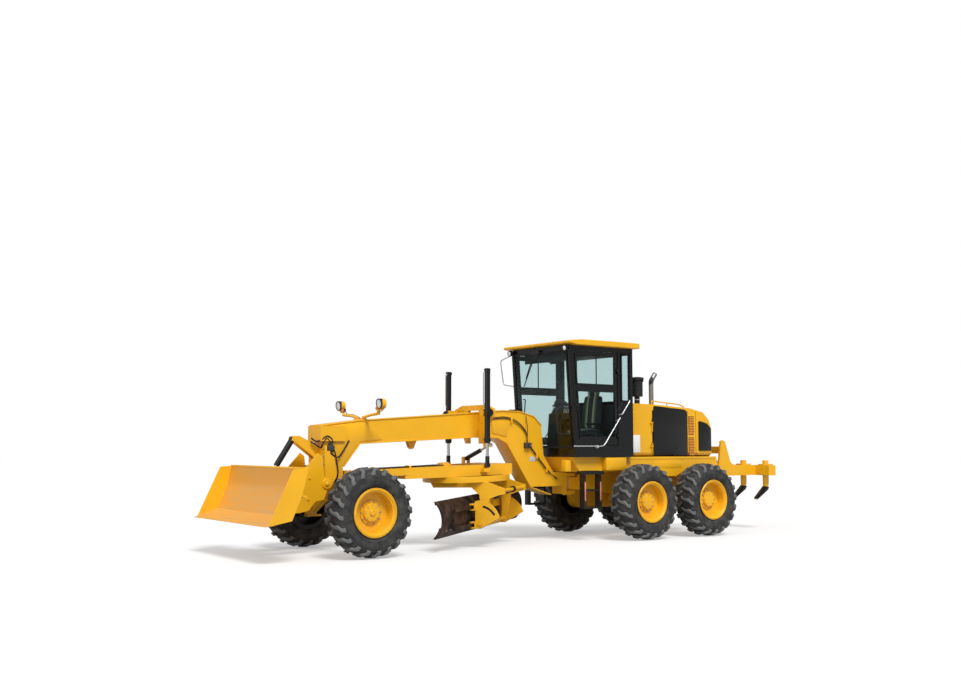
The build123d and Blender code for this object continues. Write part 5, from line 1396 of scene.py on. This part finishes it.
def circle_details():
    """The circle's inner teeth, the drive's low cover with its bolts, and the swivel at the middle."""
    up = (0, 0, 1)
    teeth = Form(SWING)
    teeth.block((0.612, -0.013, -0.205), (0.652, 0.013, -0.135), 0.003)
    teeth.again((0, 0, 0), up, 64)
    teeth.make("circle_teeth", "circle", "edge")
    motor = Form(DRAFT)
    for low, high, radius in ((0.05, 0.09, 0.125), (0.085, 0.11, 0.08)):
        motor.bar((DRIVE_X, 0, low), (DRIVE_X, 0, high), radius, bevel=0.01)
    motor.make("circle_motor", "drawbar", "yellow")
    heads = Form(DRAFT)
    heads.bolt((DRIVE_X + 0.106, 0, 0.089), up, 0.01)
    heads.again((DRIVE_X, 0, 0), up, 10)
    heads.make("circle_motor_bolts", "drawbar", "bolt", "engine_iron")
    swivel = Form(DRAFT)
    for low, high, radius, bevel in ((-0.23, -0.01, 0.095, 0.008), (-0.015, 0.02, 0.07, 0.006)):
        swivel.bar((SWIVEL_X, 0, low), (SWIVEL_X, 0, high), radius, bevel=bevel)
    for angle in range(0, 360, 60):
        way = Vector((math.cos(math.radians(angle)), math.sin(math.radians(angle)), 0))
        foot = Vector((SWIVEL_X, 0, -0.06)) + way * 0.09
        swivel.bar(foot, foot + way * 0.035, 0.016, sides=6, bevel=0.002)
    for low, high in ((-0.5, -0.09), (0.09, 0.5)):
        swivel.block((SWIVEL_X - 0.03, low, -0.055), (SWIVEL_X + 0.03, high, -0.03), 0.006)
    swivel.make("hose_swivel", "drawbar", "iron")


def drawbar_details():
    """Lines clamped along the drawbar, and the bolted plate over its ball."""
    radius = bpy.context.scene.grader_sizes.hose_radius
    lines = Form(DRAFT)
    for offset in (0.0, 0.032, 0.064, 0.096):
        y = 0.048 - offset
        lines.tube([(-0.3, y, 0.07), (-1.3, y, 0.07), (-1.66, y * 2.2, 0.07), (-1.76, y * 2.6, 0.07)],
                   radius, 0.1, 10)
    lines.make("drawbar_lines", "drawbar", "hose")
    clamps = Form(DRAFT)
    for x in (-0.5, -1.15):
        clamps.block((x - 0.016, -0.075, 0.054), (x + 0.016, 0.075, 0.09), 0.004)
        clamps.bolt((x, 0, 0.089), (0, 0, 1), 0.009)
    clamps.block((0.01, -0.052, 0.056), (0.055, 0.052, 0.064), 0.002)
    for x in (-0.1, -0.04):
        for y in (-0.045, 0.045):
            clamps.bolt((x, y, 0.056), (0, 0, 1), 0.011)
    clamps.make("drawbar_clamps", "drawbar", "yellow")


def lift_details():
    """Caps, pipes, trunnion bosses and rods' eyes of the blade lift cylinders, and the yoke's bolts."""
    up = (0, 0, 1)
    for side, sign in SIDES:
        joint = joint_at(f"lift_swing_{side}")
        low, top = (joint + Vector((0, 0, height)) for height in (LIFT_FOOT, LIFT_TOP))
        body = f"lift_barrel_{side}"
        trim = Form()
        trim.lathe([(0.03, -0.026), (0.045, -0.026), (0.0515, -0.018), (0.0515, 0.03), (0.046, 0.034)],
                   low, up, 28)
        trim.lathe([(0.046, -0.05), (0.0515, -0.046), (0.0515, 0.0), (0.04, 0.01), (0.0, 0.012)],
                   top, up, 28)
        trim.block((-0.025, -0.07 if sign > 0 else 0.035, -0.045),
                   (0.025, -0.035 if sign > 0 else 0.07, 0.0), 0.005, top)
        trim.make(f"lift_cylinder_caps_{side}", body, "cylinder")
        lines = Form()
        y = -0.062 * sign * 0.2
        lines.tube([top + Vector((0.045, y, -0.03)), top + Vector((0.07, y, -0.06)),
                    joint + Vector((0.07, y, 0.16)), joint + Vector((0.05, y, 0.12))], 0.009, 0.03, 8)
        lines.make(f"lift_cylinder_lines_{side}", body, "bolt")
        boss = Form()
        boss.bar((-0.036, 0, 0), (-0.092, 0, 0), 0.05, 28, 0.008, joint)
        for start, end, radius, sides, bevel in ((0.036, 0.094, 0.062, 32, 0.01),
                                                 (0.09, 0.104, 0.03, 24, 0.004)):
            boss.bar((0, start * sign, 0), (0, end * sign, 0), radius, sides, bevel, joint)
        boss.make(f"trunnion_boss_{side}", body, "cylinder")
        eye = Vector((joint.x, joint.y, low.z - EYE_DROP))
        sleeve = Form()
        sleeve.lathe([(0.0255, 0.036), (0.036, 0.036), (0.036, 0.14), (0.03, 0.15), (0.0255, 0.15)],
                     eye, up, 28)
        sleeve.bar((0, -0.0305, 0), (0, 0.0305, 0), 0.0425, 36, 0.003, eye)
        sleeve.make(f"lift_rod_eye_{side}", f"lift_rod_{side}", "cylinder")
    bolts = Form()
    for sign in (1, -1):
        for y, z in ((0.29, 1.8), (0.35, 1.95), (0.3, 2.26), (0.42, 2.26), (0.27, 2.02)):
            bolts.bolt((1.3055, sign * y, z), (1, 0, 0), 0.014)
    bolts.make("yoke_bolts", "front_half", "yellow")


def carrier_details():
    """Slots and pivot bosses of the tip quadrants, and the slides' bolts."""
    slots, rims = Form(SWING), Form(SWING)
    u, z = QUADRANT_PIVOT
    for sign in (1, -1):
        angles = [math.radians(100 + 50 * index / 8) for index in range(9)]
        strip = [(u + math.cos(angle) * 0.3, z + math.sin(angle) * 0.3) for angle in angles]
        # painted shade: each slot is a thin black plate on the quadrant, standing for the shade in the
        # opening
        slots.plate(ribbon(strip, 0.034), upright(y=sign * QUADRANT_V), 0.004, 0.001)
        rims.lathe([(0.034, 0.0), (0.062, 0.0), (0.062, 0.01), (0.034, 0.012)],
                   (u, sign * QUADRANT_V, z), (0, sign, 0), 28)
    slots.make("quadrant_slots", "carrier", "cab_black")
    rims.make("quadrant_bosses", "carrier", "yellow")
    bolts = Form(SWING)
    for sign in (1, -1):
        for z in (-0.61, -0.9):
            for dv in (-0.045, 0.045):
                bolts.bolt((-0.345, sign * 0.57 + dv, z + 0.0545), (0, 0, 1), 0.011)
    bolts.make("slide_bolts", "carrier", "bolt", "worn_steel")


class GRADER_OT_blade(bpy.types.Operator):
    """Moldboard with its cutting edge, circle, drive, swivel, clamped lines and lift cylinders"""
    bl_idname = "grader.blade"
    bl_label = "Blade"

    def execute(self, context):
        dress("moldboard", "blade", 0.003)
        blade_edges()
        circle_details()
        drawbar_details()
        lift_details()
        carrier_details()
        return {"FINISHED"}


# Bucket, ripper and lamps

BUCKET_INNER_Y, BUCKET_INNER_X = 1.279, 5.095
BUCKET_WIDTH = 2.596
BUCKET_PIN = (4.25, 1.065)
RIPPER_YS = (-0.57, 0.0, 0.57)
LAMP_X = 3.5
AXLE_X = 3.95
TANDEM_HOLE_ENDS = (-3.235, -1.665)
TANDEM_FACE = 0.8155


def facing_inside(face):
    """Whether a face of the bucket looks into its bowl."""
    centre = face.calc_center_median()
    if abs(centre.y) > BUCKET_INNER_Y or centre.x < BUCKET_INNER_X or face.normal.z < -0.2:
        return False
    return face.normal.x > 0.35 or face.normal.z > 0.5


def bucket_details():
    """The bucket's lip, the plates round its rim, and the ribs at its back."""
    lip = Form()
    lip.plate(((5.56, 0.5592), (5.698, 0.5375), (5.698, 0.5305), (5.56, 0.544)), upright(y=0),
              BUCKET_WIDTH, 0.002)
    lip.make("bucket_lip", "bucket", "bucket_inside")
    rim = Form()
    for sign in (1, -1):
        rim.plate(((5.085, 1.285), (5.102, 1.319), (5.289, 1.309), (5.639, 0.561), (5.615, 0.556),
                   (5.275, 1.285)), upright(y=sign * 1.2945), 0.01, 0.003)
    rim.plate(((5.04, 1.309), (5.036, 1.3345), (5.114, 1.3345), (5.114, 1.309)), upright(y=0),
              BUCKET_WIDTH + 0.002, 0.005)
    rim.make("bucket_rim", "bucket", "yellow")
    ribs = Form()
    for y in (-1.0, -0.62, 0.62, 1.0):
        ribs.plate(((5.04, 1.3), (5.088, 1.3), (5.165, 0.945), (5.306, 0.64), (5.26, 0.64),
                    (5.118, 0.93)), upright(y=y), 0.016, 0.003)
    ribs.plate(((5.15, 0.96), (5.16, 0.93), (5.06, 0.905), (5.05, 0.935)), upright(y=0), 2.5, 0.004)
    ribs.make("bucket_ribs", "bucket", "yellow")


def bracket_details():
    """Pin caps, bolts, manifold and hoses on the bucket's bracket and arms."""
    bosses, arm_bolts, ties = Form(), Form(), Form()
    x, z = BUCKET_PIN
    for sign in (1, -1):
        way = (0, sign, 0)
        bosses.lathe([(0.0, 0.01), (0.026, 0.008), (0.036, 0.0), (0.0, 0.0)], (x, sign * 0.34, z), way, 28)
        bosses.lathe([(0.036, 0.0), (0.078, 0.0), (0.078, 0.014), (0.07, 0.018), (0.036, 0.018)],
                     (x, sign * 0.312, z), way, 36)
        for place in ((4.663, 1.195), (4.54, 1.156), (4.56, 0.84), (4.8, 0.82), (4.96, 1.12)):
            arm_bolts.bolt((place[0], sign * 0.3125, place[1]), way, 0.017)
        for height in (0.99, 1.12, 1.24, 1.36, 1.48, 1.59):
            ties.bolt((4.262, sign * 0.225, height), (1, 0, 0), 0.014)
    bosses.make("bucket_pin_caps", "front_half", "yellow")
    arm_bolts.make("bucket_arm_bolts", "bucket", "yellow")
    ties.make("bracket_bolts", "front_half", "bolt")
    manifold = Form()
    manifold.block((4.08, 0.162, 1.545), (4.195, 0.245, 1.645), 0.008)
    for x in (4.105, 4.137, 4.169):
        manifold.bar((x, 0.2, 1.64), (x, 0.2, 1.676), 0.014, sides=6, bevel=0.002)
        manifold.bar((x, 0.24, 1.57), (x, 0.268, 1.57), 0.013, sides=6, bevel=0.002)
    manifold.make("nose_manifold", "front_half", "iron")
    hoses = Form()
    for bend, route in (
            (0.09, ((4.105, 0.2, 1.66), (4.105, 0.205, 1.74), (4.2, 0.215, 1.8), (4.3, 0.2, 1.72),
                    (4.35, 0.13, 1.7), (4.42, 0.11, 1.755))),
            (0.07, ((4.137, 0.2, 1.66), (4.137, 0.2, 1.7), (4.21, 0.205, 1.765), (4.275, 0.205, 1.66),
                    (4.275, 0.16, 1.6), (4.42, 0.11, 1.7))),
            (0.07, ((4.105, 0.262, 1.57), (4.105, 0.29, 1.55), (4.075, 0.292, 1.4), (4.043, 0.29, 1.237),
                    (4.043, 0.24, 1.12), (4.043, 0.162, 1.08))),
            (0.09, ((4.169, 0.262, 1.57), (4.165, 0.285, 1.52), (4.02, 0.23, 1.44), (3.9, 0.185, 1.56),
                    (3.8, 0.182, 1.72)))):
        hoses.tube(route, 0.012, bend, 10)
    hoses.make("nose_hoses", "front_half", "hose")


def ripper_details():
    """Ripper points, pocket pins and bolts, and the caps on the frame's pivots."""
    points, pins = Form(), Form()
    for y in RIPPER_YS:
        for sign in (1, -1):
            points.plate(((-5.51, 0.842), (-5.238, 0.6165), (-5.258, 0.5855), (-5.58, 0.768),
                          (-5.62, 0.83)), upright(y=y + sign * 0.0335), 0.008, 0.002)
        points.plate(((-5.505, 0.85), (-5.232, 0.622), (-5.228, 0.612), (-5.245, 0.6), (-5.52, 0.815)),
                     upright(y=y), 0.075, 0.004)
        pins.bar((-5.56, y - 0.092, 1.2), (-5.56, y + 0.092, 1.2), 0.02, bevel=0.003)
        for x in (-5.66, -5.47):
            for z in (1.25, 1.125):
                pins.bolt((x, y + 0.0755, z), (0, 1, 0), 0.014)
    for sign in (1, -1):
        pins.lathe([(0.0, 0.004), (0.055, 0.004), (0.055, 0.0), (0.0, 0.0)], (-4.11, sign * 0.4405, 1.1),
                   (0, sign, 0), 28)
    points.make("ripper_points", "ripper", "cab_black", "worn_steel")
    pins.make("ripper_pins", "ripper", "bolt", "worn_steel")


def front_lamps():
    """Work lamps in black bowls and signal lamps on their branched arm, with their cables."""
    bowls, lenses, stems, signals, shells, cable = (Form() for _ in range(6))
    for sign in (1, -1):
        centre = Vector((LAMP_X, sign * 0.647, 2.285))
        lamp(bowls, lenses, centre + Vector((0.04, 0, 0)), (1, 0, -0.12), 0.08, 0.105)
        stems.bar((-0.01, 0, -0.115), (-0.01, 0, -0.075), 0.016, bevel=0.003, at=centre)
        stems.block((-0.03, -0.028, -0.092), (0.012, 0.028, -0.078), 0.003, centre)
        stems.block((-0.02, -0.012, -0.04), (0.02, 0.012, 0.0), 0.004,
                    centre + Vector((-0.005, -sign * 0.085, -0.13)))
        centre = Vector((LAMP_X, sign * 0.545, 2.215))
        signals.block((0.012, -0.036, -0.022), (0.03, 0.036, 0.022), 0.006, centre)
        shells.block((-0.02, -0.04, -0.026), (0.016, 0.04, 0.026), 0.005, centre)
        cable.tube([(x, sign * y, z) for x, y, z in (
            (3.455, 0.64, 2.27), (3.44, 0.6, 2.215), (3.462, 0.52, 2.15), (3.462, 0.33, 2.14),
            (3.47, 0.1, 2.1), (3.47, 0.05, 2.06))], 0.006, 0.05, 8)
    bowls.make("work_lamp_bowls", "front_half", "trim")
    lenses.make("work_lamp_lenses", "front_half", "lens")
    stems.make("work_lamp_stems", "front_half", "yellow")
    signals.make("signal_lenses", "front_half", "amber")
    shells.make("signal_shells", "front_half", "trim")
    cable.make("lamp_cables", "front_half", "rubber")
    bolts = Form()
    for x in (-0.042, 0.042):
        for y in (-0.095, 0.095):
            bolts.bolt((LAMP_X + x, y, 2.065), (0, 0, 1), 0.012)
    bolts.make("lamp_arm_bolts", "front_half", "bolt")


def axle_details():
    """Nuts and kingpin caps at the front axle, and bolts round the tandem cases."""
    nuts = Form()
    nuts.bar((3.855, 0, 0.96), (3.845, 0, 0.96), 0.07, sides=32, bevel=0.003)
    for sign in (1, -1):
        for x, way in ((4.035, 1), (3.865, -1)):
            nuts.bolt((x, sign * 0.69, 0.7), (way, 0, 0), 0.03)
    nuts.make("axle_nuts", "front_axle", "yellow")
    for side, sign in SIDES:
        cap = Form()
        cap.bar((AXLE_X, sign * 0.83, 0.858), (AXLE_X, sign * 0.83, 0.869), 0.04, bevel=0.003)
        cap.make(f"kingpin_cap_{side}", f"lean_{side}", "yellow")
        bolts = Form()
        places = []
        for end, first in zip(TANDEM_HOLE_ENDS, (90, -90)):
            for index in range(14):
                angle = math.radians(first + 180 * index / 13)
                places.append((end + 0.16 * math.cos(angle), 0.665 + 0.16 * math.sin(angle)))
        places += [(x, z) for x in (-2.95, -2.7, -2.2, -1.95) for z in (0.825, 0.505)]
        for x, z in places:
            bolts.bolt((x, sign * TANDEM_FACE, z), (0, sign, 0), 0.01, False)
        bolts.make(f"tandem_bolts_{side}", f"tandem_{side}", "yellow")


class GRADER_OT_tools(bpy.types.Operator):
    """Bucket, ripper, work lamps and the fixings of the axles"""
    bl_idname = "grader.tools"
    bl_label = "Bucket and Ripper"

    def execute(self, context):
        dress("front_bucket", "yellow", 0.004, paint_faces=("bucket_inside", facing_inside))
        dress("ripper_frame", "yellow", 0.005)
        dress("front_lamps", "yellow", 0.006)
        bucket_details()
        bracket_details()
        ripper_details()
        front_lamps()
        axle_details()
        return {"FINISHED"}


# Stage

CAMERA_AT = (12.037, 14.986, 1.633)
CAMERA_LOOKS_AT = (1.337, 0.0, 3.322)
CAMERA_ROLL = 0.1
FOCAL_PIXELS = 1079.9
SHIFT = (0.0093, -0.0028)
FLOOR_R, FLOOR_Z = 90, -0.002


def camera():
    """The camera that sees the grader as the picture does."""
    data = bpy.data.cameras.new("camera")
    data.sensor_width = SENSOR_WIDTH
    data.lens = FOCAL_PIXELS / IMAGE_WIDTH * SENSOR_WIDTH
    data.shift_x, data.shift_y = SHIFT
    data.clip_end = 200
    eye = placed("camera", data)
    look = (Vector(CAMERA_LOOKS_AT) - Vector(CAMERA_AT)).to_track_quat("-Z", "Y")
    eye.matrix_world = (Matrix.Translation(CAMERA_AT) @ look.to_matrix().to_4x4()
                        @ Matrix.Rotation(math.radians(CAMERA_ROLL), 4, "Z"))
    bpy.context.scene.camera = eye


def floor():
    """A pale floor that reads white, and keeps the machine's soft shadow."""
    mesh = bpy.data.meshes.new("floor")
    bm = bmesh.new()
    bmesh.ops.create_circle(bm, cap_ends=True, segments=64, radius=FLOOR_R)
    bm.to_mesh(mesh)
    bm.free()
    ground = placed("floor", mesh)
    ground.location.z = FLOOR_Z
    paint = Paint("floor")
    path = paint.node("ShaderNodeLightPath")
    seen = Term(paint, path.outputs["Is Camera Ray"])
    grain = paint.noise(0.5, 2.0)
    tone = paint.blend(grain, srgb(187, 187, 187), srgb(190, 190, 190))
    lift = bpy.context.scene.grader_stage.floor_lift
    paint.finish(Base_Color=tone, Roughness=0.9, Specular_IOR_Level=0.1,
                 Emission_Color=(1, 1, 1, 1), Emission_Strength=seen * lift)
    mesh.materials.append(paint.material)


def world():
    """A white background, and softer light from all round."""
    made = bpy.data.worlds.new("studio")
    made.use_nodes = True
    tree = made.node_tree
    background = tree.nodes["Background"]
    path = tree.nodes.new("ShaderNodeLightPath")
    seen = tree.nodes.new("ShaderNodeMath")
    seen.operation = "MAXIMUM"
    tree.links.new(path.outputs["Is Camera Ray"], seen.inputs[0])
    tree.links.new(path.outputs["Is Transmission Ray"], seen.inputs[1])
    level = tree.nodes.new("ShaderNodeMapRange")
    level.inputs["To Min"].default_value = bpy.context.scene.grader_stage.sky
    level.inputs["To Max"].default_value = 1.0
    tree.links.new(seen.outputs[0], level.inputs["Value"])
    tree.links.new(level.outputs[0], background.inputs["Strength"])
    background.inputs["Color"].default_value = (1, 1, 1, 1)
    bpy.context.scene.world = made


def lamps_of_the_studio():
    options = bpy.context.scene.grader_stage
    # columns: name, where the light comes from, strength, width of its disc in degrees
    for name, comes_from, strength, width in (
            ("key", (0.2, 0.9, 1.25), options.key, 22),
            ("fill", (1.0, 0.15, 0.45), options.fill, 60)):
        data = bpy.data.lights.new(name, "SUN")
        data.energy = strength
        data.angle = math.radians(width)
        turn = Vector(comes_from).to_track_quat("Z", "Y").to_matrix().to_4x4()
        placed(name, data).matrix_world = turn


class GRADER_OT_stage(bpy.types.Operator):
    """Camera, floor, lights and white background"""
    bl_idname = "grader.stage"
    bl_label = "Stage"

    def execute(self, context):
        camera()
        floor()
        world()
        lamps_of_the_studio()
        context.scene.view_settings.view_transform = "Standard"
        return {"FINISHED"}


# Settings, panel and run

class GraderSizes(bpy.types.PropertyGroup):
    """Sizes and counts of what is added to the frame"""
    lug_count: IntProperty(name="Lugs", description="Lugs on each half of a tyre", default=20, min=12, max=30)
    paint_edge: FloatProperty(name="Plate edge", description="Rounding of the heavy plates' edges",
                              default=0.006, min=0.001, max=0.02, unit="LENGTH")
    sheet_edge: FloatProperty(name="Sheet edge", description="Rounding of the sheet metal's edges",
                              default=0.01, min=0.001, max=0.03, unit="LENGTH")
    hose_radius: FloatProperty(name="Hose radius", description="Radius of the hydraulic lines",
                               default=0.011, min=0.004, max=0.03, unit="LENGTH")


class GraderColours(bpy.types.PropertyGroup):
    """Main colours"""
    yellow: FloatVectorProperty(name="Yellow", description="The machine's paint", subtype="COLOR",
                                default=srgb(238, 176, 24)[:3], min=0, max=1)
    rubber: FloatVectorProperty(name="Rubber", description="The tyres' side walls", subtype="COLOR",
                                default=srgb(28, 29, 32)[:3], min=0, max=1)


class GraderStage(bpy.types.PropertyGroup):
    """Light levels"""
    sky: FloatProperty(name="Sky", description="Light from all round", default=0.42, min=0, max=3)
    key: FloatProperty(name="Key", description="Strength of the main light", default=3.0, min=0, max=8)
    fill: FloatProperty(name="Fill", description="Strength of the light on the front", default=1.1,
                        min=0, max=8)
    floor_lift: FloatProperty(name="Floor lift", description="What lifts the floor to white", default=0.37,
                              min=0, max=1)


OPERATORS = (
    GRADER_OT_stage,
    GRADER_OT_wheels,
    GRADER_OT_frames,
    GRADER_OT_cab,
    GRADER_OT_hood,
    GRADER_OT_blade,
    GRADER_OT_tools,
)


class GRADER_PT_panel(bpy.types.Panel):
    """Lists the pieces of the grader"""
    bl_label = "Motor Grader"
    bl_idname = "GRADER_PT_panel"
    bl_space_type = "VIEW_3D"
    bl_region_type = "UI"
    bl_category = "Grader"

    def draw(self, context):
        for group in (context.scene.grader_sizes, context.scene.grader_colours, context.scene.grader_stage):
            box = self.layout.box()
            for name in group.__annotations__:
                box.prop(group, name)
        for operator in OPERATORS:
            self.layout.operator(operator.bl_idname)


GROUPS = (("grader_sizes", GraderSizes), ("grader_colours", GraderColours), ("grader_stage", GraderStage))


def register():
    for name, group in GROUPS:
        bpy.utils.register_class(group)
        setattr(bpy.types.Scene, name, PointerProperty(type=group))
    for made in (*OPERATORS, GRADER_PT_panel):
        bpy.utils.register_class(made)


def unregister():
    for made in reversed((*OPERATORS, GRADER_PT_panel)):
        bpy.utils.unregister_class(made)
    for name, group in reversed(GROUPS):
        delattr(bpy.types.Scene, name)
        bpy.utils.unregister_class(group)


def main():
    register()
    for operator in OPERATORS:
        group, name = operator.bl_idname.split(".")
        getattr(getattr(bpy.ops, group), name)()


if __name__ == "__main__":
    main()
